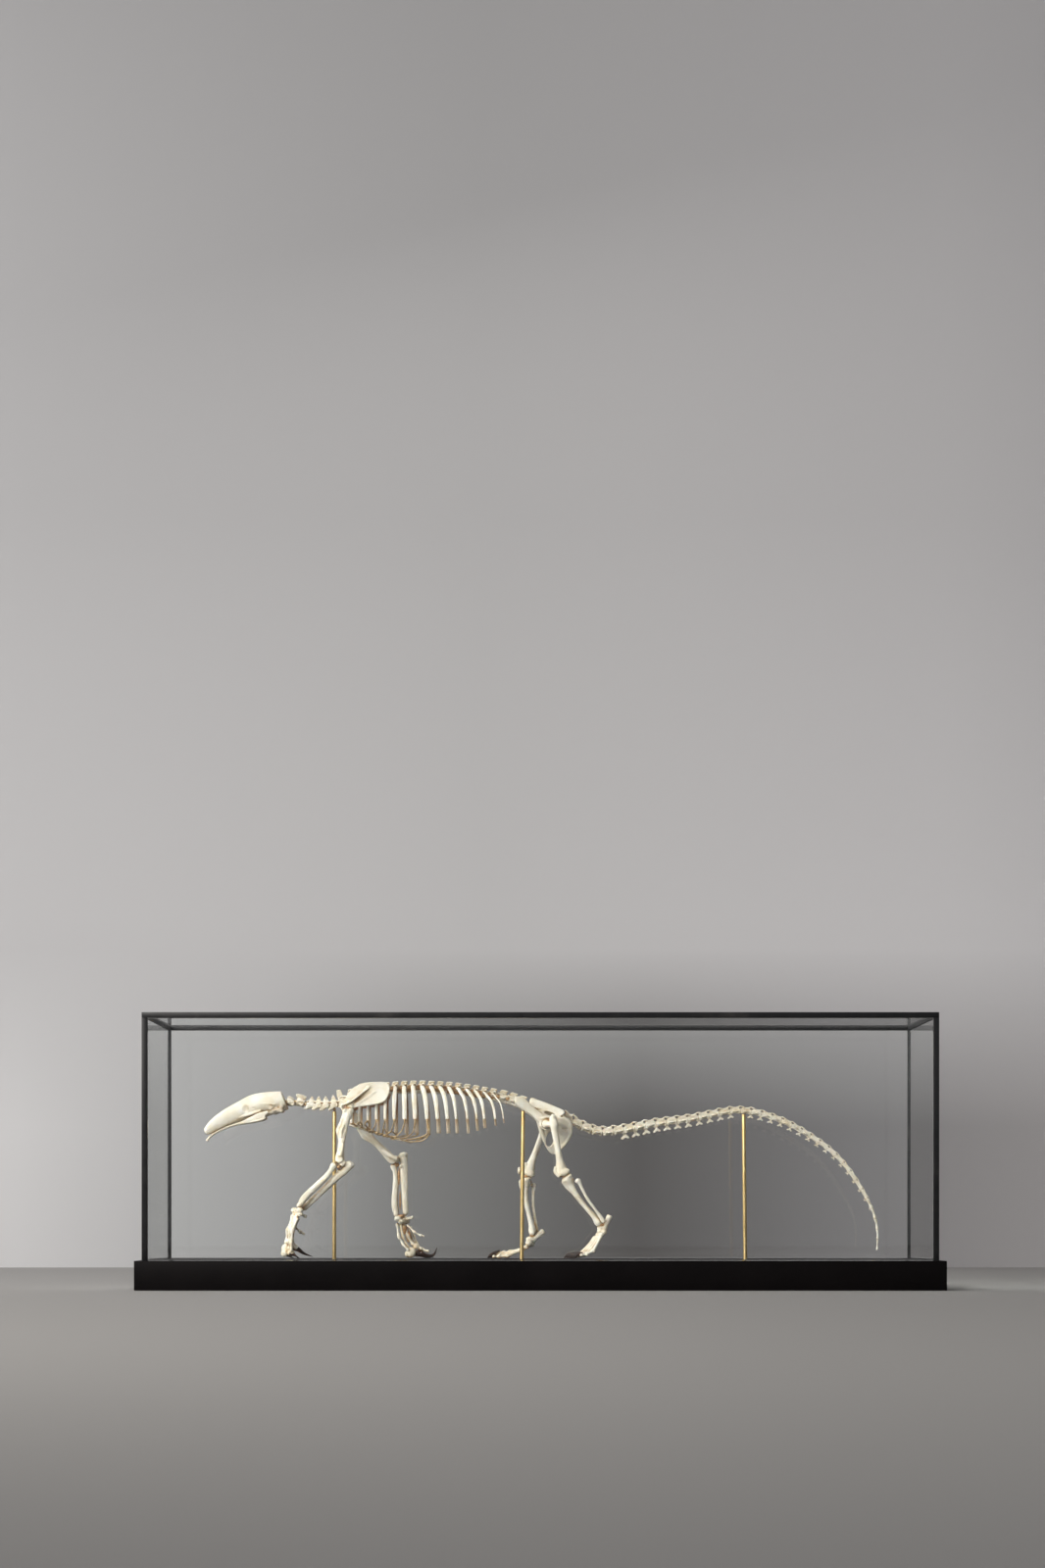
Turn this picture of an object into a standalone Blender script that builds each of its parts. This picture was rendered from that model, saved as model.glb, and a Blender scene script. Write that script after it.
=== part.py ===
"""An anteater's skeleton in a framed glass case on a black plinth.

The skeleton walks towards -X, with its left side towards -Y. Z is up, and the origin is in the middle of the
plinth's bottom. Sizes are named in millimetres, and each shape is made in metres.
"""

import math

import bmesh
import bpy
from mathutils import Matrix, Vector

MM = 0.001

# Case and plinth
PLINTH_WIDTH = 1200
PLINTH_DEPTH = 364
PLINTH_HEIGHT = 44
CASE_WIDTH = 1180
CASE_DEPTH = 340
CASE_TOP = 412
BAR = 8.4
PANE = 4
GAP = 0.3

# Brass rods: x at the foot, x at the top, and the height where each meets the bone
ROD_RADIUS = 3
RODS = {
    "rod_front": (-314.5, -314.2, 270.4),
    "rod_middle": (-27.7, -25.6, 271.2),
    "rod_tail": (314.3, 311.8, 264.2),
}

# The backbone's middle line in side view, as (x, z), and how many vertebrae lie evenly along each stretch
NECK_LINE = ((-382, 284.8), (-367, 283.2), (-348.2, 279.5), (-326.7, 278.8), (-314.2, 280.2), (-301.8, 283.2))
NECK_BONES = 7
CHEST_LINE = (
    (-285.4, 289.2), (-257.5, 298.2), (-207.5, 303.2), (-165.5, 303.2), (-123.4, 300.2), (-72.2, 291.9),
)
CHEST_BONES = 17
LOIN_LINE = ((-57.1, 288.9), (-43.4, 285.1), (-28.8, 280.2))
LOIN_BONES = 3
HIP_LINE = ((-14.5, 275.8), (2, 272), (18.5, 267.5), (30.5, 263.6))
HIP_BONES = 4
TAIL_LINE = (
    (43, 260.6), (66.5, 247.6), (93.9, 240.2), (125.6, 242.9), (176, 252.5), (228.7, 259.6),
    (263.4, 266.4), (299.8, 272.1), (333.9, 268.2), (381.2, 251.6), (434, 219.2), (466.7, 188.3),
    (494, 148.4), (510.3, 116.8), (516.7, 88.4), (516.3, 66),
)
TAIL_BONES = 37
TAIL_BASE_BONES = 8
TAIL_MIDDLE_BONES = 21
TAIL_WINGS = 8
TAIL_CHEVRONS = range(5, 32)
CHEVRON_SIZE = 6

# The height of a chest vertebra's spine, and half the space between two spine heads
SPINE_RISE = 13.6
SPINE_GAP = 0.5
# What the shares of a rib's rise are taken of, the breastbone's line, and the ribs joined to it
RIB_RISE = 45
BREASTBONE_LINE = ((-291, 0, 248.4), (-266.5, 0, 242), (-239, 0, 233.8), (-221, 0, 229), (-206.5, 0, 223.6))
JOINED_RIBS = range(10)
# Height of a small claw's tip over the plinth
CLAW_TIP = 1.2

OUTWARD = Vector((0, 1, 0))
HEADWARD = Vector((-1, 0, 0))
TAILWARD = Vector((1, 0, 0))
LEFT = -1
RIGHT = 1


# Materials

def material(name, colour, roughness, metallic=0.0, transmission=0.0):
    made = bpy.data.materials.new(name)
    made.use_nodes = True
    shader = made.node_tree.nodes["Principled BSDF"]
    shader.inputs["Base Color"].default_value = (*colour, 1)
    shader.inputs["Roughness"].default_value = roughness
    shader.inputs["Metallic"].default_value = metallic
    shader.inputs["Transmission Weight"].default_value = transmission
    return made


def make_materials():
    return {
        "bone": material("ivory_bone", (0.80, 0.74, 0.60), 0.55),
        "cartilage": material("dried_cartilage", (0.52, 0.36, 0.20), 0.6),
        "claw": material("dark_claw", (0.06, 0.035, 0.025), 0.35),
        "wood": material("black_painted_wood", (0.012, 0.011, 0.011), 0.5),
        "frame": material("black_frame", (0.02, 0.021, 0.023), 0.45, metallic=0.3),
        "brass": material("brass_rod", (0.60, 0.42, 0.16), 0.3, metallic=1.0),
        "glass": material("clear_glass", (0.93, 0.97, 0.96), 0.02, transmission=1.0),
    }


# Shells, each a closed bmesh

def run(stations, sides=8, across=OUTWARD, ways=None):
    """A tube of flat-sided rings. A station is (place, half its size across, half its depth).

    Each ring faces the way given for it, or else along the line through its neighbours.
    """
    shell = bmesh.new()
    places = [Vector(station[0]) for station in stations]
    rings = []
    for number, (_, half_across, half_deep) in enumerate(stations):
        ahead = places[min(number + 1, len(places) - 1)]
        behind = places[max(number - 1, 0)]
        way = (ways[number] if ways else ahead - behind).normalized()
        side = (across - way * across.dot(way)).normalized()
        turn = Matrix((side * half_across, way.cross(side) * half_deep, way)).transposed()
        rings.append(Matrix.Scale(MM, 4) @ Matrix.Translation(places[number]) @ turn.to_4x4())
    half_step = math.pi / sides
    circle = rings[0] @ Matrix.Rotation(half_step, 4, "Z")
    bmesh.ops.create_circle(
        shell, cap_ends=True, segments=sides, radius=1 / math.cos(half_step), matrix=circle
    )
    end = shell.faces[:]
    for number, (before, after) in enumerate(zip(rings, rings[1:])):
        grown = bmesh.ops.extrude_face_region(shell, geom=end)["geom"]
        corners = [item for item in grown if isinstance(item, bmesh.types.BMVert)]
        bmesh.ops.transform(shell, matrix=after @ before.inverted(), verts=corners)
        if number > 0:
            bmesh.ops.delete(shell, geom=end, context="FACES_ONLY")
        end = [item for item in grown if isinstance(item, bmesh.types.BMFace)]
    return shell


def ball(place, radii, segments, rings):
    shell = bmesh.new()
    matrix = Matrix.Scale(MM, 4) @ Matrix.Translation(place) @ Matrix.Diagonal((*radii, 1))
    bmesh.ops.create_uvsphere(shell, u_segments=segments, v_segments=rings, radius=1, matrix=matrix)
    return shell


def plate(outline, out, thickness, lean=0.0, lean_from=0.0):
    """A slab cut to a side-view outline of (x, z). lean moves it sideways as it rises from lean_from."""
    shell = bmesh.new()
    corners = []
    for x, z in outline:
        y = out - thickness / 2 + lean * (z - lean_from)
        corners.append(shell.verts.new(Vector((x, y, z)) * MM))
    face = shell.faces.new(corners)
    grown = bmesh.ops.extrude_face_region(shell, geom=[face])["geom"]
    moved = [item for item in grown if isinstance(item, bmesh.types.BMVert)]
    bmesh.ops.translate(shell, vec=OUTWARD * thickness * MM, verts=moved)
    return shell


def block(low, high):
    shell = bmesh.new()
    low = Vector(low)
    high = Vector(high)
    matrix = Matrix.Scale(MM, 4) @ Matrix.Translation((low + high) / 2) @ Matrix.Diagonal((*(high - low), 1))
    bmesh.ops.create_cube(shell, size=1, matrix=matrix)
    return shell


# Objects

def add_object(name, shells, surface, parent):
    """One object from shells in world space, with its origin in the middle of the first."""
    joined = bmesh.new()
    middle = sum((corner.co for corner in shells[0].verts), Vector()) / len(shells[0].verts)
    for shell in shells:
        bmesh.ops.recalc_face_normals(shell, faces=shell.faces)
        piece = bpy.data.meshes.new("piece")
        shell.to_mesh(piece)
        shell.free()
        joined.from_mesh(piece)
        bpy.data.meshes.remove(piece)
    bmesh.ops.translate(joined, vec=-middle, verts=joined.verts)
    mesh = bpy.data.meshes.new(name)
    joined.to_mesh(mesh)
    joined.free()
    mesh.materials.append(surface)
    mesh.shade_smooth()
    mesh.set_sharp_from_angle(angle=math.radians(35))
    made = bpy.data.objects.new(name, mesh)
    made.location = middle
    bpy.context.scene.collection.objects.link(made)
    made.parent = parent
    return made


def add_boolean(body, shells, operation, surface):
    helper = add_object(f"{body.name}_{operation.lower()}", shells, surface, body.parent)
    helper.hide_render = True
    helper.display_type = "WIRE"
    joint = body.modifiers.new(operation.lower(), "BOOLEAN")
    joint.operation = operation
    joint.solver = "EXACT"
    joint.use_self = True
    joint.object = helper


def piece(name, surface, parent, shells, cuts=()):
    """One closed body: the first shell, the others joined to it, then the cuts taken out."""
    body = add_object(name, shells[:1], surface, parent)
    if shells[1:]:
        add_boolean(body, shells[1:], "UNION", surface)
    if cuts:
        add_boolean(body, list(cuts), "DIFFERENCE", surface)
    return body


# Lines and places

def smooth_line(points, steps=12):
    """Close points along a smooth curve through the given ones."""
    points = [Vector(place) for place in points]
    ends = [2 * points[0] - points[1], *points, 2 * points[-1] - points[-2]]
    line = []
    for before, start, end, after in zip(ends, ends[1:], ends[2:], ends[3:]):
        for step in range(steps):
            t = step / steps
            line.append(
                start
                + (end - before) * (t / 2)
                + (2 * before - 5 * start + 4 * end - after) * (t * t / 2)
                + (3 * start - before - 3 * end + after) * (t * t * t / 2)
            )
    return [*line, points[-1]]


def evenly(points, count):
    """As many places as asked for, equally far apart along the smooth curve."""
    line = smooth_line(points)
    lengths = [0.0]
    for start, end in zip(line, line[1:]):
        lengths.append(lengths[-1] + (end - start).length)
    places = []
    step = 0
    for number in range(count):
        wanted = lengths[-1] * number / (count - 1)
        while step < len(line) - 2 and lengths[step + 1] < wanted:
            step += 1
        share = (wanted - lengths[step]) / (lengths[step + 1] - lengths[step])
        places.append(line[step].lerp(line[step + 1], share))
    return places


class Seat:
    """One vertebra's place: its middle, the way to the tail, up, and the middles of its two joints."""

    def __init__(self, before, middle, after):
        self.middle = middle
        self.tailward = (after - before).normalized()
        self.up = OUTWARD.cross(self.tailward) * -1
        self.front = (before + middle) / 2
        self.back = (after + middle) / 2
        self.half = (self.back - self.front).length / 2

    def at(self, along, out, up):
        return self.middle + self.tailward * along + OUTWARD * out + self.up * up

    def outline(self, points):
        """Side-view (x, z) points from points given along the backbone and up from it."""
        places = [self.at(along, 0, up) for along, up in points]
        return [(place.x, place.z) for place in places]

    def spool(self, end, waist, sides=6):
        """The vertebra's body, with a gap to the next at each end."""
        front = self.front + (self.middle - self.front).normalized() * GAP
        back = self.back + (self.middle - self.back).normalized() * GAP
        return run([(front, end, end), (self.middle, waist, waist), (back, end, end)], sides)


def backbone():
    """The seats of every vertebra, by stretch."""
    stretches = {
        "neck": (NECK_LINE, NECK_BONES),
        "chest": (CHEST_LINE, CHEST_BONES),
        "loin": (LOIN_LINE, LOIN_BONES),
        "hip": (HIP_LINE, HIP_BONES),
        "tail": (TAIL_LINE, TAIL_BONES),
    }
    middles = []
    for line, count in stretches.values():
        middles += evenly([(x, 0, z) for x, z in line], count)
    first = 2 * middles[0] - middles[1]
    last = 2 * middles[-1] - middles[-2]
    padded = [first, *middles, last]
    seats = [Seat(*three) for three in zip(padded, middles, padded[2:])]
    found = {}
    start = 0
    for name, (_, count) in stretches.items():
        found[name] = seats[start : start + count]
        start += count
    return found


# The case

def build_case(surfaces, parent):
    half_width = CASE_WIDTH / 2
    half_depth = CASE_DEPTH / 2
    rail_bottom = PLINTH_HEIGHT - BAR
    inner_width = half_width - BAR
    inner_depth = half_depth - BAR
    beyond = 20

    board = block(
        (-PLINTH_WIDTH / 2, -PLINTH_DEPTH / 2, 0), (PLINTH_WIDTH / 2, PLINTH_DEPTH / 2, PLINTH_HEIGHT)
    )
    groove = block(
        (-half_width - GAP, -half_depth - GAP, rail_bottom - GAP),
        (half_width + GAP, half_depth + GAP, PLINTH_HEIGHT + beyond),
    )
    island = block(
        (-inner_width + GAP, -inner_depth + GAP, rail_bottom - beyond),
        (inner_width - GAP, inner_depth - GAP, PLINTH_HEIGHT),
    )
    plinth = piece("plinth", surfaces["wood"], parent, [board], [groove])
    add_boolean(plinth, [island], "UNION", surfaces["wood"])

    outside = block((-half_width, -half_depth, rail_bottom), (half_width, half_depth, CASE_TOP))
    low = rail_bottom + BAR
    high = CASE_TOP - BAR
    through = [
        block((-half_width - beyond, -inner_depth, low), (half_width + beyond, inner_depth, high)),
        block((-inner_width, -half_depth - beyond, low), (inner_width, half_depth + beyond, high)),
        block(
            (-inner_width, -inner_depth, rail_bottom - beyond), (inner_width, inner_depth, CASE_TOP + beyond)
        ),
    ]
    piece("case_frame", surfaces["frame"], parent, [outside], through)

    wide = inner_width - GAP
    deep = inner_depth - GAP
    foot = PLINTH_HEIGHT + GAP
    head = high - GAP
    front = half_depth - BAR / 2
    end = half_width - BAR / 2
    top = CASE_TOP - BAR / 2
    thin = PANE / 2
    panes = {
        "glass_front": ((-wide, -front - thin, foot), (wide, -front + thin, head)),
        "glass_back": ((-wide, front - thin, foot), (wide, front + thin, head)),
        "glass_left": ((-end - thin, -deep, foot), (-end + thin, deep, head)),
        "glass_right": ((end - thin, -deep, foot), (end + thin, deep, head)),
        "glass_top": ((-wide, -deep, top - thin), (wide, deep, top + thin)),
    }
    for name, (corner, far_corner) in panes.items():
        piece(name, surfaces["glass"], parent, [block(corner, far_corner)])

    for name, (foot_x, top_x, top_z) in RODS.items():
        ends = [(foot_x, 0, PLINTH_HEIGHT + GAP), (top_x, 0, top_z)]
        upright = Vector((0, 0, 1))
        rod = run([(place, ROD_RADIUS, ROD_RADIUS) for place in ends], 12, ways=[upright] * 2)
        piece(name, surfaces["brass"], parent, [rod])


# Head and neck

def build_skull(surfaces, parent):
    # Each station is x, lowest z, highest z and half the width
    sections = (
        (-512, 233.5, 243.0, 4.0),
        (-504, 235.5, 252.0, 5.5),
        (-494, 240.8, 262.2, 6.5),
        (-475, 248.8, 276.0, 8.5),
        (-455, 255.8, 286.9, 12.0),
        (-436, 260.5, 296.4, 16.0),
        (-416, 265.5, 300.1, 19.0),
        (-399, 270.5, 301.1, 20.0),
        (-391.5, 278.0, 295.5, 15.0),
    )
    stations = [((x, 0, (low + high) / 2), wide, (high - low) / 2) for x, low, high, wide in sections]
    shells = [run(stations, 10, ways=[TAILWARD] * len(stations))]
    for side in (LEFT, RIGHT):
        shells.append(ball((-400.5, 14 * side, 276), (7.5, 6.5, 6.5), 6, 4))
        shells.append(ball((-391, 6 * side, 284), (4, 4, 5), 6, 3))
        # The stub of the cheek arch
        shells.append(run([((-452, 11 * side, 264), 2, 2), ((-438, 17.5 * side, 268.5), 2.5, 3)], 4))
        # The ridge under the brain case
        shells.append(
            run([((-440, 6 * side, 262), 2, 3), ((-418, 9 * side, 267.5), 3, 4.5),
                 ((-404, 11 * side, 271), 2.5, 3)], 4)
        )
    sockets = [ball((-446.5, 18 * side, 279), (7, 5.5, 6.5), 8, 5) for side in (LEFT, RIGHT)]
    piece("skull", surfaces["bone"], parent, shells, sockets)


def build_jaw(surfaces, parent):
    shells = []
    for side in (LEFT, RIGHT):
        # x, distance out, z, half the thickness and half the height
        places = (
            (-508.8, 1.2, 225.6, 1.8, 2.6),
            (-505, 1.6, 231.2, 1.8, 2.0),
            (-494.5, 4, 238.2, 1.4, 1.6),
            (-475, 7.5, 246.9, 1.4, 1.6),
            (-455.5, 12.5, 252.6, 1.4, 2.6),
            (-440, 17.3, 257.6, 1.3, 4.2),
            (-428, 19.8, 263.0, 1.2, 5.2),
            (-417, 20.6, 268.0, 1.2, 3.5),
        )
        stations = [((x, out * side, z), thin, tall) for x, out, z, thin, tall in places]
        shells.append(run(stations, 6))
    piece("lower_jaw", surfaces["bone"], parent, shells)


def arch(seat, width, top, head, thickness=4):
    """The bone over a vertebra's body: half its size at the root, its height, and half its head."""
    outline = [(-width, 1), (-head, top * 0.7), (-head, top), (head, top), (head, top * 0.7), (width, 1)]
    return plate(seat.outline(outline), 0, thickness)


def wing(seat, reach, along, up, half_long, half_tall):
    """The cross bar of a vertebra's two side processes."""
    tips = [seat.at(along, reach * side, up) for side in (LEFT, RIGHT)]
    return run([(tip, half_long, half_tall) for tip in tips], 4, across=TAILWARD)


def build_neck(surfaces, parent, seats):
    bone = surfaces["bone"]
    atlas = seats[0]
    front = atlas.at(-4.2, 0, 0)
    back = atlas.at(6.8, 0, 0)
    ring = run([(front, 8.5, 6.5), (atlas.middle, 8, 6.5), (back, 6.5, 5.5)])
    piece("atlas", bone, parent, [ring, wing(atlas, 15, 2.5, 0, 4.2, 1.5)])

    axis = seats[1]
    blade = axis.outline([(-5.6, 3), (-6.4, 9), (-4.5, 12.5), (4, 12.5), (9, 6.5), (6, 2)])
    body = run([(axis.at(-6.1, 0, 0), 6.5, 5), (axis.middle, 5, 4.5), (axis.at(6.6, 0, -0.6), 6, 5)])
    piece("axis", bone, parent, [body, plate(blade, 0, 3), wing(axis, 9, 2, -2, 3, 1.6)])

    shells = [run(neck_column(seats), 6)]
    for number, seat in enumerate(seats[2:]):
        last = number == NECK_BONES - 3
        top = 20 if last else 8.5
        shells.append(arch(seat, 4, top, 3.2, 4))
        shells.append(wing(seat, 12.5, 3.5, -5.5, 3, 1.4))
    # The last but one carries a keel that rests on the rod
    keel = seats[5].outline([(-5, -2), (-4.5, -8.6), (4.5, -8.6), (5, -2)])
    shells.append(plate(keel, 0, 7))
    piece("neck_vertebrae", bone, parent, shells)


def neck_column(seats):
    stations = [(seats[2].front + TAILWARD * 1.2, 6, 4.6)]
    for seat in seats[2:]:
        stations.append((seat.middle, 4.8, 3.8))
        back = seat.back if seat is not seats[-1] else seat.back - TAILWARD * 0.5
        stations.append((back, 6, 4.8))
    return stations


# Chest

def rib_course(seat, number, side):
    """The stations of one rib: out and over from its vertebra, then down. The left ones stand out more."""
    near = side == LEFT
    reach = min(22 + 4.6 * number, 49) if near else min(21 + 3.4 * number, 41)
    tail_end = max(number - 12, 0) / 4
    if near:
        end_z = 257.5 - 2 * max(3 - number, 0)
    else:
        end_z = 238 + 16 * tail_end + 5 * max(3 - number, 0)
    sweep = min(max(-4 + 2.3 * (number - 5), -4), 14.5)
    wide = 2.7 if number < 5 else 4.0
    wide -= 2.7 * max(number - 10, 0) / 6
    thin = 1.6 - 0.5 * tail_end
    drop = seat.middle.z - end_z
    # Share of the sweep, of the reach, of the drop (or a small rise), and of the width
    course = (
        (0.0, 0.06, 0.02, 0.9),
        (0.02, 0.27, 0.12, 0.85),
        (0.12, 0.62, -0.03, 0.95),
        (0.45, 0.91, -0.40, 1.0),
        (1.0, 1.0, -1.0, 0.75),
    )
    stations = []
    for swept, out, rise, share in course:
        lift = rise * drop if rise < 0 else rise * RIB_RISE
        place = Vector((seat.middle.x + 2 + sweep * swept, reach * out * side, seat.middle.z + lift))
        stations.append((place, wide * share, thin))
    return stations


def rib(seat, number, side):
    return run(rib_course(seat, number, side), 4, across=TAILWARD)


def build_chest(surfaces, parent, seats):
    for number, seat in enumerate(seats):
        front = max(1 - number / 3, 0)
        rise = SPINE_RISE + 2.5 * front
        head = min(seat.half - SPINE_GAP, 3.2 + number)
        shells = [
            seat.spool(5.6, 4.6),
            arch(seat, 3, rise, head, 4.4),
            rib(seat, number, LEFT),
            rib(seat, number, RIGHT),
        ]
        piece(f"rib_pair_{number + 1:02d}", surfaces["bone"], parent, shells)


def rib_cartilage(rib_stations, seat_on_bone):
    """A thin strand that goes on from a rib's end, then bends headward to the breastbone."""
    before, end = rib_stations[-2][0], rib_stations[-1][0]
    way = (end - before).normalized()
    fall = end.z - seat_on_bone.z
    inward = Vector((0, 0.25 * (seat_on_bone.y - end.y), 0))
    corner = end + way * max(0.6 * fall, 9) + inward
    course = [end + way * (2 * GAP), end + way * 4, corner, seat_on_bone]
    return run([(place, 1.2, 1.1) for place in course], 3, across=TAILWARD)


def build_breastbone(surfaces, parent, chest):
    stations = []
    for number, place in enumerate(evenly(BREASTBONE_LINE, 11)):
        front = max(1 - number / 3, 0)
        knob = 1.2 * (number % 2) * (1 - front)
        stations.append((place, 3 + 3.5 * front + knob, 2 + 0.4 * front + knob))
    shells = [run(stations, 6)]
    seats_on_bone = evenly(BREASTBONE_LINE, len(JOINED_RIBS) + 1)[:-1]
    for side in (LEFT, RIGHT):
        for number, seat_on_bone in zip(JOINED_RIBS, seats_on_bone):
            stations = rib_course(chest[number], number, side)
            shells.append(rib_cartilage(stations, seat_on_bone + Vector((3, 1.5 * side, 0))))
    piece("breastbone", surfaces["cartilage"], parent, shells)


# Loin, hips and tail

def build_loin(surfaces, parent, seats):
    column = [(seats[0].front + TAILWARD * 0.4, 6, 6.2)]
    for seat in seats:
        column.append((seat.middle, 5.4, 5.6))
        back = seat.back if seat is not seats[-1] else seat.back - TAILWARD * 0.4
        column.append((back, 6.4, 6.6))
    shells = [run(column, 6)]
    for seat in seats:
        shells.append(arch(seat, 4.5, 14, seat.half - 0.8, 5))
        shells.append(wing(seat, 15, 1, 1, 3.6, 1.5))
    piece("loin_vertebrae", surfaces["bone"], parent, shells)


def build_hips(surfaces, parent, seats, hips):
    last = seats[-1]
    column = [(seats[0].front + TAILWARD * 0.4, 6.4, 6.6)]
    column += [(seat.middle, 6.5, 6.2) for seat in seats]
    column.append((last.back - TAILWARD * 0.4, 6, 6))
    shells = [run(column, 6)]
    crest = [(-13.4, 276), (-13.4, 291.5), (12, 283), (35.5, 273), (33, 266), (10, 270)]
    shells.append(plate(crest, 0, 4))
    # The wide side mass that joins the sacrum to both hip bones
    shells.append(run([((-16, 0, 277), 27, 3), ((4, 0, 272.5), 25, 3.5), ((34, 0, 263), 19, 3.5)], 4))
    for side in (LEFT, RIGHT):
        ilium = [((-35, 35 * side, 284), 1.6, 11), ((-24, 32.5 * side, 278), 2.2, 9),
                 ((-8, 29 * side, 267), 4, 6.5), ((7, 28 * side, 254.5), 5.5, 7.5)]
        # From the hip joint back, and from the sacrum down, the bone closes round the slot under the sacrum
        bridge = [((5, 28 * side, 253), 5, 6), ((24, 25 * side, 252.5), 3.5, 5),
                  ((41, 20.5 * side, 249), 2.8, 8)]
        ischium = [((34, 18.5 * side, 262), 3, 4), ((41, 20 * side, 252), 2.8, 7),
                   ((46, 19 * side, 238), 2.6, 5.5), ((36, 15 * side, 220), 2.3, 5),
                   ((22, 1 * side, 206), 2.6, 4.3)]
        pubis = [((7, 27.5 * side, 252), 4.5, 5), ((5, 25 * side, 240), 3, 3.6),
                 ((11, 15 * side, 220), 2.5, 3), ((21, 1.5 * side, 206.5), 2.8, 3.6)]
        shells += [run(stations, 6) for stations in (ilium, bridge, ischium, pubis)]
    sockets = [ball(hip, (7.1, 7.1, 7.1), 8, 5) for hip in hips]
    piece("hip_bone", surfaces["bone"], parent, shells, sockets)


def tail_half(number):
    """Half the height of the tail at a vertebra: full at the root, thin at the tip."""
    share = number / (TAIL_BONES - 1)
    return 7.0 * (1 - share) ** 0.8 + 1.3


def chevron(seat, tall, size):
    """The small bone under a joint, which widens at its foot."""
    joint = seat.half
    root = -0.45 * tall
    foot = root - 2.1 * size
    outline = [(joint - 0.35 * size, root), (joint - 0.85 * size, foot), (joint + 0.85 * size, foot),
               (joint + 0.35 * size, root)]
    return plate(seat.outline(outline), 0, 0.6 * size)


def tail_stretch(seats, first_number):
    """The shells of one stretch of the tail, with its side wings and the chevrons under it.

    The column stands high in the middle of each vertebra, under its arch, and low at each joint.
    """
    column = []
    ways = []
    extras = []
    for number, seat in enumerate(seats, first_number):
        tall = tail_half(number)
        joint_way = seat.middle - seat.front
        front = seat.front - seat.up * (0.15 * tall)
        if number == first_number:
            front += joint_way.normalized() * GAP
        column.append((front, 0.75 * tall, 0.7 * tall))
        column.append((seat.middle + seat.up * (0.2 * tall), 0.5 * tall, 0.8 * tall))
        ways += [joint_way, seat.tailward]
        if number < TAIL_WINGS:
            extras.append(wing(seat, 15 - 0.9 * number, 2, 0, 2.6, 1.2))
        over_rod = abs(seat.back.x - RODS["rod_tail"][1]) < seat.half
        if number in TAIL_CHEVRONS and seat is not seats[-1] and not over_rod:
            size = CHEVRON_SIZE * (1 - (number - TAIL_CHEVRONS.start) / TAIL_BONES)
            extras.append(chevron(seat, tall, size))
    joint_way = seat.back - seat.middle
    back = seat.back - joint_way.normalized() * GAP - seat.up * (0.15 * tall)
    column.append((back, 0.75 * tall, 0.7 * tall))
    ways.append(joint_way)
    return [run(column, 6, ways=ways), *extras]


def build_tail(surfaces, parent, seats):
    stretches = {
        "tail_base": range(TAIL_BASE_BONES),
        "tail_middle": range(TAIL_BASE_BONES, TAIL_MIDDLE_BONES),
        "tail_end": range(TAIL_MIDDLE_BONES, TAIL_BONES),
    }
    for name, numbers in stretches.items():
        shells = tail_stretch(seats[numbers.start : numbers.stop], numbers.start)
        piece(name, surfaces["bone"], parent, shells)


# Limbs

def limb_matrix(top, bottom, side, length):
    """From a bone's own frame (headward, outward, up from its upper end) to its place, stretched to fit."""
    up = Vector(top) - Vector(bottom)
    stretch = up.length / length
    up.normalize()
    ahead = (HEADWARD - up * HEADWARD.dot(up)).normalized()
    out = up.cross(ahead)
    if out.y * side < 0:
        out = -out
    turn = Matrix((ahead, out, up * stretch)).transposed().to_4x4()
    return Matrix.Translation(Vector(top) * MM) @ turn


def placed(shells, matrix):
    for shell in shells:
        bmesh.ops.transform(shell, matrix=matrix, verts=shell.verts)
    return shells


def humerus():
    shaft = run([
        ((0, 0, 2), 5, 5), ((0, 0, -5), 7.5, 7.5), ((1, 0, -16), 5.5, 6.5), ((4, 1, -36), 5.5, 7.5),
        ((1.5, 0, -52), 4.8, 5), ((0, -1, -70), 9, 5.4), ((0, -1, -80), 13, 6.8), ((0, -1, -87), 11, 6.2),
    ])
    return [shaft]


def radius():
    return [run([
        ((0, 0, 0), 5, 5), ((0, 0, -7), 3.4, 3.8), ((0, 0, -38), 3.6, 4.6), ((-0.5, 0, -58), 4.6, 6.4),
        ((0, 0, -77), 5.4, 5.6),
    ])]


def ulna():
    return [run([
        ((0, 0, 0), 6, 7), ((0, 0, -8), 6, 7.2), ((-1.5, 0, -16), 4.5, 3.8), ((0.5, 0, -26), 4.2, 4.8),
        ((0, 0, -58), 2.8, 3.4), ((0, 0, -97), 3.4, 3.8),
    ])]


def femur():
    shaft = run([
        ((0, 13, 7), 3.5, 4), ((0, 13, -2), 5.5, 6.5), ((0, 11, -16), 6.5, 6), ((0, 8, -40), 5.6, 5.2),
        ((0, 4, -62), 7, 6.6), ((0.2, 2, -74), 10, 10.6), ((0.2, 2, -81), 9, 9.6),
    ])
    neck = run([((0, 2, 0), 3.6, 3.6), ((0, 11, -5), 4.2, 4.2)], 6, across=Vector((0, 0, 1)))
    return [shaft, neck, ball((0, 0, 0), (6.1, 6.1, 6.1), 8, 5)]


def tibia():
    return [run([
        ((0, 0, 0), 10, 10), ((0.5, 0, -6), 9, 9.4), ((1.5, 0, -22), 5.4, 6.6), ((0, 0, -50), 3.8, 4.2),
        ((0, 0, -76), 4.2, 4.4), ((0, 0, -86), 6, 6),
    ])]


def fibula():
    return [run([
        ((0, 0, 0), 3, 4.2), ((0, 0, -6), 2.4, 3), ((-1.5, 0, -36), 1.6, 1.9), ((0, 0, -70), 1.8, 2.2),
        ((0, 0, -76), 2.6, 3.2),
    ], 6)]


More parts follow.
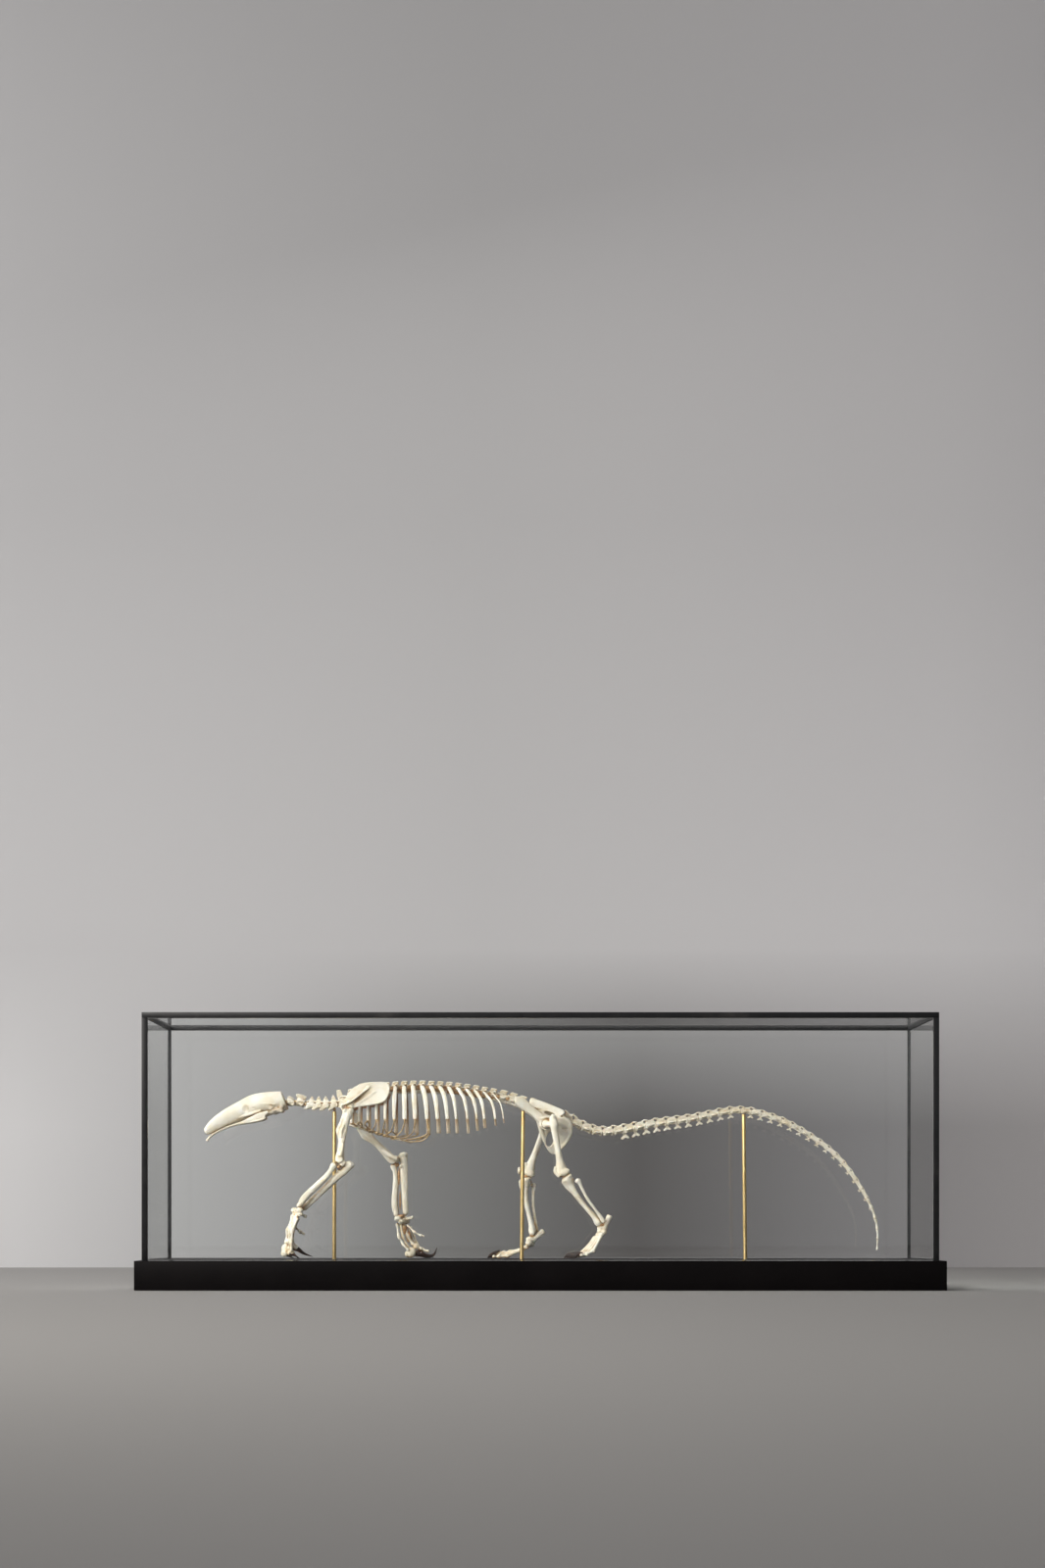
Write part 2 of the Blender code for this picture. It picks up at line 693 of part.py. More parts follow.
def build_shoulder_blade(surfaces, parent, side, name):
    outline = [
        (-290, 274.4), (-297.5, 281.5), (-293, 294), (-286.6, 304), (-275, 310), (-264.7, 312),
        (-236.7, 312.8), (-230, 307), (-229.6, 299), (-238.7, 283), (-258, 278.5), (-276, 277),
        (-284, 274.4),
    ]
    root = 48
    lean = -0.45
    blade = plate(outline, root * side, 2.4, lean * side, 275)
    # The ridge on its outer face, ending in the point over the shoulder joint
    ridge_line = [(-250.7, 308), (-266, 297), (-280.6, 286.5), (-296.5, 279.5)]
    ridge = []
    for number, (x, z) in enumerate(ridge_line):
        out = root + lean * (z - 275) + 2.5 + 1.5 * min(number, 2)
        ridge.append(((x, out * side, z), 3.6, 1.6))
    cup = run([((-287, root * side, 280), 3.6, 6), ((-287.5, root * side, 274.2), 4.6, 6.4)], 8)
    piece(name, surfaces["bone"], parent, [blade, run(ridge, 4), cup])


def claw(course, root_half):
    """A curved claw, taller than it is thick, that narrows to its tip."""
    line = smooth_line(course, 3)
    stations = []
    for number, place in enumerate(line):
        half = root_half * (1 - 0.86 * number / (len(line) - 1))
        stations.append((place, 0.62 * half, half))
    return run(stations, 6)


def digit(places, halves, sides=4):
    """A row of finger or toe bones, thick at the joints and thin in the middle of the first."""
    start, end = Vector(places[0]), Vector(places[1])
    slim = 0.7 * min(halves[:2])
    stations = [(start, halves[0], halves[0]), (start.lerp(end, 0.5), slim, slim)]
    stations += [(place, half, half) for place, half in zip(places[1:], halves[1:])]
    return run(stations, sides)


def build_hand(surfaces, parent, side, name, marks):
    """A hand from its marks in side view, as (x, z), and its distance out."""
    out = marks["out"]

    def at(mark, shift=0.0):
        x, z = marks[mark]
        return Vector((x, (out + shift) * side, z))

    shells = [
        ball(at("wrist"), (9, 9.5, 7.5), 6, 4),
        digit([at("wrist", 1), at("knuckle", 1), at("sole")], [6, 5.6, 6.6], 6),
        run([(at("wrist", -2), 3, 3), (at("peg", -3), 3.4, 3.2)], 4),
        digit([at("wrist", -8), at("thumb_root", -11), at("thumb_tip", -12)], [2.8, 2.6, 0.9]),
        ball(at("sole"), (8.5, 8.5, 8), 6, 4),
    ]
    for shift in (8, -8):
        tip = at("claw_middle", 1.25 * shift)
        tip.z = PLINTH_HEIGHT + CLAW_TIP
        toe = at("sole", shift).lerp(tip, 0.6)
        places = [at("wrist", 0.8 * shift), at("knuckle", shift), at("sole", shift), toe, tip]
        shells.append(digit(places, [3, 3.2, 3.8, 2.2, 0.5]))
    piece(name, surfaces["bone"], parent, shells)
    course = [at("claw_root"), at("claw_middle"), at("claw_tip")]
    piece(f"{name}_claw", surfaces["claw"], parent, [claw(course, 4.5)])


def build_foot(surfaces, parent, side, name, marks):
    """A foot from its marks in side view, as (x, z), and its distance out."""
    out = marks["out"]

    def at(mark, shift=0.0):
        x, z = marks[mark]
        return Vector((x, (out + shift) * side, z))

    shells = [
        run([(at("heel"), 4.4, 4.6), (at("heel").lerp(at("ankle"), 0.5), 3.8, 4.4), (at("ankle"), 5, 5)], 6),
        run([(at("ankle"), 6.2, 6), (at("tarsus"), 7.5, 5.6), (at("instep"), 8, 4.6)], 6),
    ]
    for number in range(-2, 3):
        spread = 6.4 * number
        back = Vector((3.5, 0, 1.4)) * abs(number)
        tip = at("claw_tip", 1.1 * spread) + back
        tip.z = PLINTH_HEIGHT + CLAW_TIP
        places = [at("instep", 4.4 * number), at("ball", spread) + back, at("toe", spread) + back,
                  at("claw", spread) + back, tip]
        shells.append(digit(places, [3.2, 3, 2.6, 1.9, 0.5]))
    piece(name, surfaces["bone"], parent, shells)


def build_limbs(surfaces, parent):
    bone = surfaces["bone"]
    arms = {
        "left": {
            "side": LEFT,
            "shoulder": (-290.5, -49, 270), "elbow": (-304, -76, 189.5),
            "radius": ((-310, -79, 187.2), (-364, -66.5, 124.8)),
            "ulna": ((-284.8, -75, 190), (-358.6, -56.5, 120.5)),
        },
        "right": {
            "side": RIGHT,
            "shoulder": (-291.6, 49, 268.8), "elbow": (-226, 57, 193.6),
            "radius": ((-225.8, 58, 188), (-221, 56, 111.5)),
            "ulna": ((-211.6, 55, 207), (-207, 51, 113)),
        },
    }
    for word, arm in arms.items():
        side = arm["side"]
        build_shoulder_blade(surfaces, parent, side, f"shoulder_blade_{word}")
        upper = limb_matrix(arm["shoulder"], arm["elbow"], side, 87)
        piece(f"humerus_{word}", bone, parent, placed(humerus(), upper))
        piece(f"radius_{word}", bone, parent, placed(radius(), limb_matrix(*arm["radius"], side, 77)))
        piece(f"ulna_{word}", bone, parent, placed(ulna(), limb_matrix(*arm["ulna"], side, 97)))
    build_hand(surfaces, parent, LEFT, "hand_left", {
        "out": 63, "wrist": (-367.6, 116), "peg": (-357.5, 110), "knuckle": (-380.5, 70),
        "sole": (-382.5, 52.8), "thumb_root": (-369, 92), "thumb_tip": (-358.5, 84), "claw_root": (-373, 60),
        "claw_middle": (-360, 54.5), "claw_tip": (-344, 49.5),
    })
    build_hand(surfaces, parent, RIGHT, "hand_right", {
        "out": 54, "wrist": (-213.5, 104), "peg": (-198, 107.5), "knuckle": (-206, 66),
        "sole": (-199, 52.8), "thumb_root": (-196, 88), "thumb_tip": (-181, 80.5), "claw_root": (-190, 52),
        "claw_middle": (-172, 49.5), "claw_tip": (-159.5, 60.5),
    })


def build_legs(surfaces, parent):
    bone = surfaces["bone"]
    legs = {
        "left": {
            "side": LEFT,
            "hip": (9.5, -36.5, 250), "knee": (35.5, -44, 171),
            "tibia": ((40, -45, 168.8), (90.5, -44, 97.5)),
            "fibula": ((56.5, -54, 165.5), (96.8, -51, 101)),
            "kneecap": (19.6, -45, 180),
        },
        "right": {
            "side": RIGHT,
            "hip": (9.5, 36.5, 250), "knee": (-19.5, 44, 173.5),
            "tibia": ((-22.3, 45, 168), (-10.8, 44, 83)),
            "fibula": ((-9.5, 54, 160), (-4.6, 52, 85)),
            "kneecap": (-31.6, 45, 180.5),
        },
    }
    for word, leg in legs.items():
        side = leg["side"]
        piece(f"femur_{word}", bone, parent, placed(femur(), limb_matrix(leg["hip"], leg["knee"], side, 82)))
        piece(f"tibia_{word}", bone, parent, placed(tibia(), limb_matrix(*leg["tibia"], side, 86)))
        piece(f"fibula_{word}", bone, parent, placed(fibula(), limb_matrix(*leg["fibula"], side, 76)))
        piece(f"kneecap_{word}", bone, parent, [ball(leg["kneecap"], (2.8, 5, 6.2), 6, 4)])
    build_foot(surfaces, parent, LEFT, "foot_left", {
        "out": 43, "ankle": (95, 90.5), "heel": (107.5, 110.5), "tarsus": (90, 82), "instep": (83, 73),
        "ball": (70, 52.5), "toe": (56, 48.5), "claw": (48, 49.5), "claw_tip": (40.5, 45.6),
    })
    build_foot(surfaces, parent, RIGHT, "foot_right", {
        "out": 43, "ankle": (-11.2, 72.6), "heel": (7.5, 88), "tarsus": (-16, 65), "instep": (-28, 57),
        "ball": (-47, 49), "toe": (-62, 49), "claw": (-70, 50), "claw_tip": (-78, 45.6),
    })


def build():
    for old in list(bpy.data.objects):
        bpy.data.objects.remove(old, do_unlink=True)
    surfaces = make_materials()
    case = bpy.data.objects.new("case", None)
    skeleton = bpy.data.objects.new("skeleton", None)
    for holder in (case, skeleton):
        bpy.context.scene.collection.objects.link(holder)
    build_case(surfaces, case)
    seats = backbone()
    build_skull(surfaces, skeleton)
    build_jaw(surfaces, skeleton)
    build_neck(surfaces, skeleton, seats["neck"])
    build_chest(surfaces, skeleton, seats["chest"])
    build_breastbone(surfaces, skeleton, seats["chest"])
    build_loin(surfaces, skeleton, seats["loin"])
    build_hips(surfaces, skeleton, seats["hip"], [(9.5, 36.5 * side, 250) for side in (LEFT, RIGHT)])
    build_tail(surfaces, skeleton, seats["tail"])
    build_limbs(surfaces, skeleton)
    build_legs(surfaces, skeleton)


build()
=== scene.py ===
"""The looks of the anteater's skeleton: every bone, its case, the light and the camera.

Lengths are millimetres until a mesh is made. The skeleton walks towards -X, its left side is at -Y.
"""

import math

import bmesh
import bpy
from mathutils import Matrix, Vector


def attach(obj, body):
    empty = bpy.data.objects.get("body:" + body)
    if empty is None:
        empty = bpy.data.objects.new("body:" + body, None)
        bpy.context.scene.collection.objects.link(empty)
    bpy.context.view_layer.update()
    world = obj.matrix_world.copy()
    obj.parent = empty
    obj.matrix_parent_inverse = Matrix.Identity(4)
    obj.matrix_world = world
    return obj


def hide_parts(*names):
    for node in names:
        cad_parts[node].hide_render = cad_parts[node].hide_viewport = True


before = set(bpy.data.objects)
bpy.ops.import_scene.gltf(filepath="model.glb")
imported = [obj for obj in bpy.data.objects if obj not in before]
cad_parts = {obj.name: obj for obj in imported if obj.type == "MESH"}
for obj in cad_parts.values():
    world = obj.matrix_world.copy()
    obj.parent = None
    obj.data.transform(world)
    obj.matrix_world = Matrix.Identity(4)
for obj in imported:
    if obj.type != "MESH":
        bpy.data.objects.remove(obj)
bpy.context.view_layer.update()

MM = 0.001
BODY = "root"
LEFT = -1
RIGHT = 1
OUTWARD = Vector((0, 1, 0))
UPWARD = Vector((0, 0, 1))
HEADWARD = Vector((-1, 0, 0))
TAILWARD = Vector((1, 0, 0))

# Case and plinth
PLINTH_WIDTH = 1200
PLINTH_DEPTH = 364
PLINTH_HEIGHT = 44
CASE_WIDTH = 1180
CASE_DEPTH = 340
CASE_TOP = 412
BAR = 8.4
# How far one bar's end is let into the next at a weld
WELD = 0.2
PANE = 4
GAP = 0.3

# Brass rods: x at the foot, x at the top, and the height where each meets the bone
ROD_RADIUS = 3
RODS = {
    "rod_front": (-314.5, -314.2, 270.4),
    "rod_middle": (-27.7, -25.6, 271.2),
    "rod_tail": (314.3, 311.8, 266.4),
}

# The backbone's middle line in side view, as (x, z), and how many vertebrae lie evenly along each stretch
NECK_PLACES = (
    (-382, 284.8), (-367, 283.2), (-349.5, 281.2), (-338.6, 280.4), (-327.4, 280.2), (-314.6, 280.8),
    (-302.5, 283.2),
)
CHEST_LINE = (
    (-285.4, 289.2), (-257.5, 298.2), (-207.5, 303.2), (-165.5, 303.2), (-123.4, 300.2), (-72.2, 291.9),
)
CHEST_BONES = 17
LOIN_LINE = ((-57.1, 288.9), (-43.4, 285.1), (-28.8, 280.2))
LOIN_BONES = 3
HIP_LINE = ((-14.5, 275.8), (2, 272), (18.5, 267.5), (30.5, 263.6))
HIP_BONES = 4
TAIL_LINE = (
    (43, 260.6), (66.5, 247.6), (93.9, 240.2), (125.6, 242.9), (176, 252.5), (228.7, 259.6),
    (263.4, 266.4), (299.8, 272.1), (333.9, 268.2), (381.2, 251.6), (434, 219.2), (466.7, 188.3),
    (494, 148.4), (510.3, 116.8), (516.7, 88.4), (516.3, 66),
)
TAIL_BONES = 37
# The first vertebra of each node of the tail, and which vertebrae have arches, wings and chevrons
TAIL_NODES = {"tail_base": 0, "tail_middle": 8, "tail_end": 21}
TAIL_ARCHES = 32
TAIL_WINGS = 24
TAIL_CHEVRONS = range(5, 33)

# Voxel sizes of the fused bones, the finest where the bones are smallest
FINEST = 0.5
CHEVRON_VOXEL = 0.6
FINE = 0.74
TAIL_VOXEL = 0.78
SPINE_VOXEL = 0.8
SKULL_VOXEL = 0.85
MEDIUM = 0.9
PELVIS_VOXEL = 1.0
LIGAMENT_VOXEL = 1.1


# Shader nodes

class Finish:
    """A material under construction: its nodes, its links and its Principled shader."""

    def __init__(self, name, roughness=0.5, metallic=0.0):
        self.material = bpy.data.materials.new(name)
        self.material.use_nodes = True
        self.tree = self.material.node_tree
        self.shader = self.tree.nodes["Principled BSDF"]
        self.shader.inputs["Roughness"].default_value = roughness
        self.shader.inputs["Metallic"].default_value = metallic
        self.place = self.add("ShaderNodeTexCoord").outputs["Object"]

    def add(self, kind, inputs=None, **settings):
        node = self.tree.nodes.new(kind)
        for name, value in settings.items():
            setattr(node, name, value)
        for name, value in (inputs or {}).items():
            self.put(node.inputs[name], value)
        return node

    def put(self, socket, value):
        if isinstance(value, bpy.types.NodeSocket):
            self.tree.links.new(value, socket)
        else:
            socket.default_value = value

    def noise(self, scale, detail=3.0, roughness=0.5, place=None):
        node = self.add("ShaderNodeTexNoise", {"Vector": place or self.place, "Scale": scale,
                                               "Detail": detail, "Roughness": roughness})
        return node.outputs["Fac"]

    def stretched(self, scale):
        """The object's coordinates, scaled by axis, for grain and streaks."""
        return self.add("ShaderNodeMapping", {"Vector": self.place, "Scale": scale}).outputs["Vector"]

    def ramp(self, value, stops):
        node = self.add("ShaderNodeValToRGB", {"Fac": value})
        elements = node.color_ramp.elements
        elements[0].position, elements[0].color = stops[0][0], (*stops[0][1], 1)
        elements[1].position, elements[1].color = stops[-1][0], (*stops[-1][1], 1)
        for position, colour in stops[1:-1]:
            elements.new(position).color = (*colour, 1)
        return node.outputs["Color"]

    def level(self, value, low, high, out_low=0.0, out_high=1.0):
        node = self.add("ShaderNodeMapRange", {"Value": value, "From Min": low, "From Max": high,
                                               "To Min": out_low, "To Max": out_high})
        return node.outputs["Result"]

    def math(self, operation, first, second=0.0):
        node = self.add("ShaderNodeMath", operation=operation)
        self.put(node.inputs[0], first)
        self.put(node.inputs[1], second)
        return node.outputs["Value"]

    def mix(self, share, first, second, blend="MIX"):
        node = self.add("ShaderNodeMix", {"Factor": share}, data_type="RGBA", blend_type=blend)
        self.put(node.inputs["A"], first if isinstance(first, bpy.types.NodeSocket) else (*first, 1))
        self.put(node.inputs["B"], second if isinstance(second, bpy.types.NodeSocket) else (*second, 1))
        return node.outputs["Result"]

    def bump(self, height, strength, distance):
        node = self.add("ShaderNodeBump", {"Height": height, "Strength": strength,
                                           "Distance": distance * MM})
        if self.shader.inputs["Normal"].links:
            self.put(node.inputs["Normal"], self.shader.inputs["Normal"].links[0].from_socket)
        self.put(self.shader.inputs["Normal"], node.outputs["Normal"])

    def occlusion(self, distance):
        node = self.add("ShaderNodeAmbientOcclusion", {"Distance": distance * MM}, samples=6)
        return node.outputs["AO"]

    def coordinate(self, axis):
        return self.add("ShaderNodeSeparateXYZ", {"Vector": self.place}).outputs[axis]

    def facing(self, axis):
        geometry = self.add("ShaderNodeNewGeometry").outputs["Normal"]
        return self.add("ShaderNodeSeparateXYZ", {"Vector": geometry}).outputs[axis]


# Colours of bone, from clean to the deepest painted shade in crevices; the tan and the brown also take the
# stain spots
IVORY = (0.79, 0.75, 0.66)
CREAM = (0.72, 0.64, 0.49)
SHADE_AND_STAIN_TAN = (0.54, 0.36, 0.19)
SHADE_AND_STAIN_BROWN = (0.27, 0.14, 0.06)
WHITE = (1.0, 1.0, 1.0)
PORES = 1500


def bone_layers(name, stain, shade_reach):
    """Dry cleaned bone: ivory, creamier in patches and in stain spots, with painted shade from tan to brown
    in crevices and between parts.
    """
    finish = Finish(name)
    patches = finish.noise(42, 5, 0.6)
    face = finish.ramp(patches, [(0.36, CREAM), (0.60, IVORY)])
    # Painted shade: ambient occlusion over the given reach turns crevices and places between parts tan to
    # brown; the stain spots are added to it
    painted_shade = finish.occlusion(shade_reach)
    spots = finish.level(finish.noise(160, 4), 0.3, 0.7, -0.1 - stain, 0.08 - stain)
    painted_shade_and_stain = finish.math("ADD", painted_shade, spots)
    tone = finish.ramp(painted_shade_and_stain, [(0.20, SHADE_AND_STAIN_BROWN), (0.44, SHADE_AND_STAIN_TAN), (0.68, CREAM), (0.93, WHITE)])
    finish.put(finish.shader.inputs["Base Color"], finish.mix(1.0, face, tone, "MULTIPLY"))
    finish.put(finish.shader.inputs["Roughness"], finish.level(patches, 0.3, 0.7, 0.62, 0.46))
    finish.shader.inputs["Subsurface Weight"].default_value = 0.12
    finish.shader.inputs["Subsurface Radius"].default_value = (0.0022, 0.0014, 0.0008)
    finish.shader.inputs["Specular IOR Level"].default_value = 0.42
    finish.bump(finish.noise(PORES, 3, 0.65), 0.25, 0.3)
    finish.bump(finish.noise(230, 4), 0.45, 0.8)
    return finish


def bone_finish(name, stain=0.0, shade_reach=9.0):
    return bone_layers(name, stain, shade_reach).material


def skull_finish():
    """Skull bone, brown in blotches low on the rear about the ear, with painted shade in tan on the flat
    back that faces tailward.
    """
    finish = bone_layers("skull_ivory", 0.0, 12.0)
    clean = finish.shader.inputs["Base Color"].links[0].from_socket
    rear = finish.level(finish.coordinate("X"), -0.419, -0.402)
    low = finish.level(finish.coordinate("Z"), 0.288, 0.274)
    blotches = finish.level(finish.noise(190, 5, 0.65), 0.40, 0.60)
    ear = finish.math("MULTIPLY", finish.math("MULTIPLY", rear, low), blotches)
    ear_blotched = finish.mix(finish.math("MULTIPLY", ear, 0.6), clean, (0.36, 0.22, 0.11))
    # Painted shade: the faces turned tailward, over the flat back, are tinted tan
    back = finish.math("MULTIPLY", finish.level(finish.facing("X"), 0.55, 0.8), 0.7)
    finish.put(finish.shader.inputs["Base Color"], finish.mix(back, ear_blotched, (0.58, 0.43, 0.26)))
    return finish.material


def rib_finish():
    """Bone whose faces turned into the chest carry painted shade, pale tan low down and brown up by the
    backbone.
    """
    finish = Finish("rib_bone")
    patches = finish.noise(50, 4, 0.6)
    face = finish.ramp(patches, [(0.34, CREAM), (0.56, IVORY)])
    # Painted shade on the faces turned into the chest, darker towards the top
    inward = finish.math("MULTIPLY", finish.facing("Y"), finish.coordinate("Y"))
    inner_shade_mask = finish.level(inward, 0.004, -0.012)
    inner_shade_mask = finish.math("MULTIPLY", inner_shade_mask, finish.level(finish.noise(120, 4), 0.25, 0.6, 0.7, 1.0))
    height = finish.level(finish.coordinate("Z"), 0.246, 0.272)
    inner_shade_colours = finish.ramp(height, [(0.0, (0.70, 0.58, 0.43)), (0.5, (0.52, 0.34, 0.185)),
                                    (1.0, (0.30, 0.145, 0.06))])
    face = finish.mix(inner_shade_mask, face, inner_shade_colours)
    # Painted shade in crevices and between parts, by ambient occlusion
    painted_shade = finish.occlusion(7)
    tone = finish.ramp(painted_shade, [(0.16, SHADE_AND_STAIN_BROWN), (0.38, SHADE_AND_STAIN_TAN), (0.62, CREAM), (0.9, WHITE)])
    finish.put(finish.shader.inputs["Base Color"], finish.mix(1.0, face, tone, "MULTIPLY"))
    finish.put(finish.shader.inputs["Roughness"], finish.level(patches, 0.3, 0.7, 0.58, 0.44))
    finish.shader.inputs["Subsurface Weight"].default_value = 0.1
    finish.shader.inputs["Subsurface Radius"].default_value = (0.002, 0.0012, 0.0007)
    finish.bump(finish.noise(PORES, 3, 0.65), 0.18, 0.25)
    finish.bump(finish.noise(60, 2, place=finish.stretched((6, 6, 1))), 0.25, 0.4)
    return finish.material


def cartilage_finish():
    """Rib cartilage that dried to amber and brown."""
    finish = Finish("dried_cartilage", 0.42)
    tone = finish.ramp(finish.noise(140, 5, 0.6), [(0.32, (0.34, 0.19, 0.08)), (0.5, (0.55, 0.38, 0.19)),
                                                   (0.68, (0.74, 0.60, 0.38))])
    finish.put(finish.shader.inputs["Base Color"], tone)
    finish.shader.inputs["Coat Weight"].default_value = 0.15
    finish.bump(finish.noise(600, 4), 0.35, 0.4)
    return finish.material


def tissue_finish():
    """Ligament and muscle left to dry between the ribs and along the backbone."""
    finish = Finish("dried_ligament", 0.5)
    fibres = finish.noise(90, 6, 0.65, finish.stretched((1, 3, 3)))
    tone = finish.ramp(fibres, [(0.30, (0.19, 0.085, 0.035)), (0.5, (0.46, 0.255, 0.11)),
                                (0.70, (0.70, 0.50, 0.28))])
    finish.put(finish.shader.inputs["Base Color"], tone)
    finish.put(finish.shader.inputs["Roughness"], finish.level(fibres, 0.3, 0.7, 0.38, 0.6))
    finish.bump(fibres, 0.5, 0.8)
    return finish.material


def horn_finish():
    """Dark horn, red-brown where it is thin, with streaks along the claw."""
    finish = Finish("claw_horn", 0.3)
    streaks = finish.noise(240, 4, 0.6, finish.stretched((0.35, 1.6, 1.0)))
    tone = finish.ramp(streaks, [(0.35, (0.010, 0.006, 0.004)), (0.55, (0.028, 0.010, 0.005)),
                                 (0.75, (0.09, 0.036, 0.016))])
    finish.put(finish.shader.inputs["Base Color"], tone)
    finish.put(finish.shader.inputs["Roughness"], finish.level(streaks, 0.3, 0.8, 0.30, 0.48))
    finish.shader.inputs["Specular IOR Level"].default_value = 0.35
    finish.bump(streaks, 0.3, 0.3)
    return finish.material


def plinth_finish():
    """Black satin paint over wood, its grain just felt, duller where dust lies."""
    finish = Finish("black_painted_wood", 0.4)
    grain = finish.noise(30, 6, 0.65, finish.stretched((0.6, 9, 9)))
    dust = finish.noise(9, 6, 0.7)
    colour = finish.ramp(dust, [(0.3, (0.0050, 0.0042, 0.0044)), (0.7, (0.0085, 0.0070, 0.0072))])
    finish.put(finish.shader.inputs["Base Color"], colour)
    finish.put(finish.shader.inputs["Roughness"], finish.level(dust, 0.3, 0.7, 0.42, 0.52))
    finish.shader.inputs["Specular IOR Level"].default_value = 0.05
    finish.bump(grain, 0.12, 0.3)
    finish.bump(finish.noise(700, 2), 0.08, 0.1)
    return finish.material


def frame_finish():
    """Blackened steel with a faint mottle, rubbed paler in places."""
    finish = Finish("blackened_steel", 0.42, 0.35)
    mottle = finish.noise(55, 6, 0.7)
    rubbed = finish.noise(14, 5, 0.6)
    tone = finish.ramp(mottle, [(0.3, (0.008, 0.008, 0.009)), (0.7, (0.018, 0.018, 0.019))])
    worn = finish.level(rubbed, 0.60, 0.78)
    finish.put(finish.shader.inputs["Base Color"], finish.mix(worn, tone, (0.055, 0.050, 0.046)))
    finish.put(finish.shader.inputs["Roughness"], finish.level(mottle, 0.3, 0.7, 0.36, 0.52))
    finish.bump(finish.noise(420, 4), 0.12, 0.15)
    return finish.material


def brass_finish():
    """Drawn brass rod, a little tarnished."""
    finish = Finish("polished_brass", 0.24, 1.0)
    tarnish = finish.noise(26, 5, 0.6)
    drawn = finish.noise(120, 3, 0.5, finish.stretched((1, 1, 0.5)))
    tone = finish.ramp(tarnish, [(0.32, (0.70, 0.49, 0.19)), (0.58, (0.80, 0.59, 0.27)),
                                 (0.75, (0.86, 0.67, 0.35))])
    finish.put(finish.shader.inputs["Base Color"], tone)
    finish.put(finish.shader.inputs["Roughness"], finish.level(drawn, 0.3, 0.7, 0.34, 0.37))
    return finish.material


def glass_finish():
    """Clear float glass, with lamps let through so that the specimen inside is lit."""
    finish = Finish("case_glass", 0.0)
    shader = finish.shader
    shader.inputs["Base Color"].default_value = (0.985, 0.995, 0.992, 1)
    shader.inputs["Transmission Weight"].default_value = 1.0
    shader.inputs["IOR"].default_value = 1.45
    clear = finish.add("ShaderNodeBsdfTransparent", {"Color": (0.95, 0.965, 0.96, 1)})
    path = finish.add("ShaderNodeLightPath")
    mixed = finish.add("ShaderNodeMixShader", {0: path.outputs["Is Shadow Ray"]})
    finish.put(mixed.inputs[1], shader.outputs["BSDF"])
    finish.put(mixed.inputs[2], clear.outputs["BSDF"])
    finish.put(finish.tree.nodes["Material Output"].inputs["Surface"], mixed.outputs["Shader"])
    return finish.material


# Lines

def smooth_line(points, steps):
    """Close points along a smooth curve through the given ones, whatever their number of parts."""
    points = [Vector(place) for place in points]
    ends = [2 * points[0] - points[1], *points, 2 * points[-1] - points[-2]]
    line = []
    for before, start, end, after in zip(ends, ends[1:], ends[2:], ends[3:]):
        for step in range(steps):
            t = step / steps
            line.append(
                start
                + (end - before) * (t / 2)
                + (2 * before - 5 * start + 4 * end - after) * (t * t / 2)
                + (3 * start - before - 3 * end + after) * (t * t * t / 2)
            )
    return [*line, points[-1]]


def evenly(points, count):
    """As many places as asked for, equally far apart along the smooth curve."""
    line = smooth_line(points, 12)
    lengths = [0.0]
    for start, end in zip(line, line[1:]):
        lengths.append(lengths[-1] + (end - start).length)
    places = []
    step = 0
    for number in range(count):
        wanted = lengths[-1] * number / (count - 1)
        while step < len(line) - 2 and lengths[step + 1] < wanted:
            step += 1
        share = (wanted - lengths[step]) / (lengths[step + 1] - lengths[step])
        places.append(line[step].lerp(line[step + 1], share))
    return places


# Shells, each a closed bmesh in metres

def tube(stations, sides=12, across=OUTWARD, ways=None):
    """A tube of rings. A station is (place, half its size across, half its depth)."""
    shell = bmesh.new()
    places = [Vector(station[0]) for station in stations]
    rings = []
    for number, (_, half_across, half_deep) in enumerate(stations):
        ahead = places[min(number + 1, len(places) - 1)]
        behind = places[max(number - 1, 0)]
        way = (ways[number] if ways else ahead - behind).normalized()
        side = (across - way * across.dot(way)).normalized()
        turn = Matrix((side * half_across, way.cross(side) * half_deep, way)).transposed()
        rings.append(Matrix.Scale(MM, 4) @ Matrix.Translation(places[number]) @ turn.to_4x4())
    bmesh.ops.create_circle(shell, cap_ends=True, segments=sides, radius=1, matrix=rings[0])
    end = shell.faces[:]
    for number, (before, after) in enumerate(zip(rings, rings[1:])):
        grown = bmesh.ops.extrude_face_region(shell, geom=end)["geom"]
        corners = [item for item in grown if isinstance(item, bmesh.types.BMVert)]
        bmesh.ops.transform(shell, matrix=after @ before.inverted(), verts=corners)
        if number > 0:
            bmesh.ops.delete(shell, geom=end, context="FACES_ONLY")
        end = [item for item in grown if isinstance(item, bmesh.types.BMFace)]
    return shell


def limb(stations, steps=4, sides=12, across=OUTWARD, dome=0.6):
    """A tube through few stations with a smooth run between them and rounded ends."""
    course = [Vector((*station[0], station[1], station[2])) for station in stations]
    course = smooth_line(course, steps)
    rings = [(Vector(ring[:3]), max(ring[3], 0.3), max(ring[4], 0.3)) for ring in course]
    for end, inner in ((0, 1), (-1, -2)):
        place, half_across, half_deep = rings[end]
        beyond = (place - rings[inner][0]).normalized() * min(half_across, half_deep) * dome
        caps = []
        for angle in (35, 68):
            out, size = math.sin(math.radians(angle)), math.cos(math.radians(angle))
            caps.append((place + beyond * out, half_across * size, half_deep * size))
        rings = [*reversed(caps), *rings] if end == 0 else [*rings, *caps]
    return tube(rings, sides, across)


def ball(place, radii, turn=None, segments=16, rings=10):
    shell = bmesh.new()
    matrix = Matrix.Scale(MM, 4) @ Matrix.Translation(place)
    if turn:
        matrix = matrix @ turn.to_4x4()
    matrix = matrix @ Matrix.Diagonal((*radii, 1))
    bmesh.ops.create_uvsphere(shell, u_segments=segments, v_segments=rings, radius=1, matrix=matrix)
    return shell


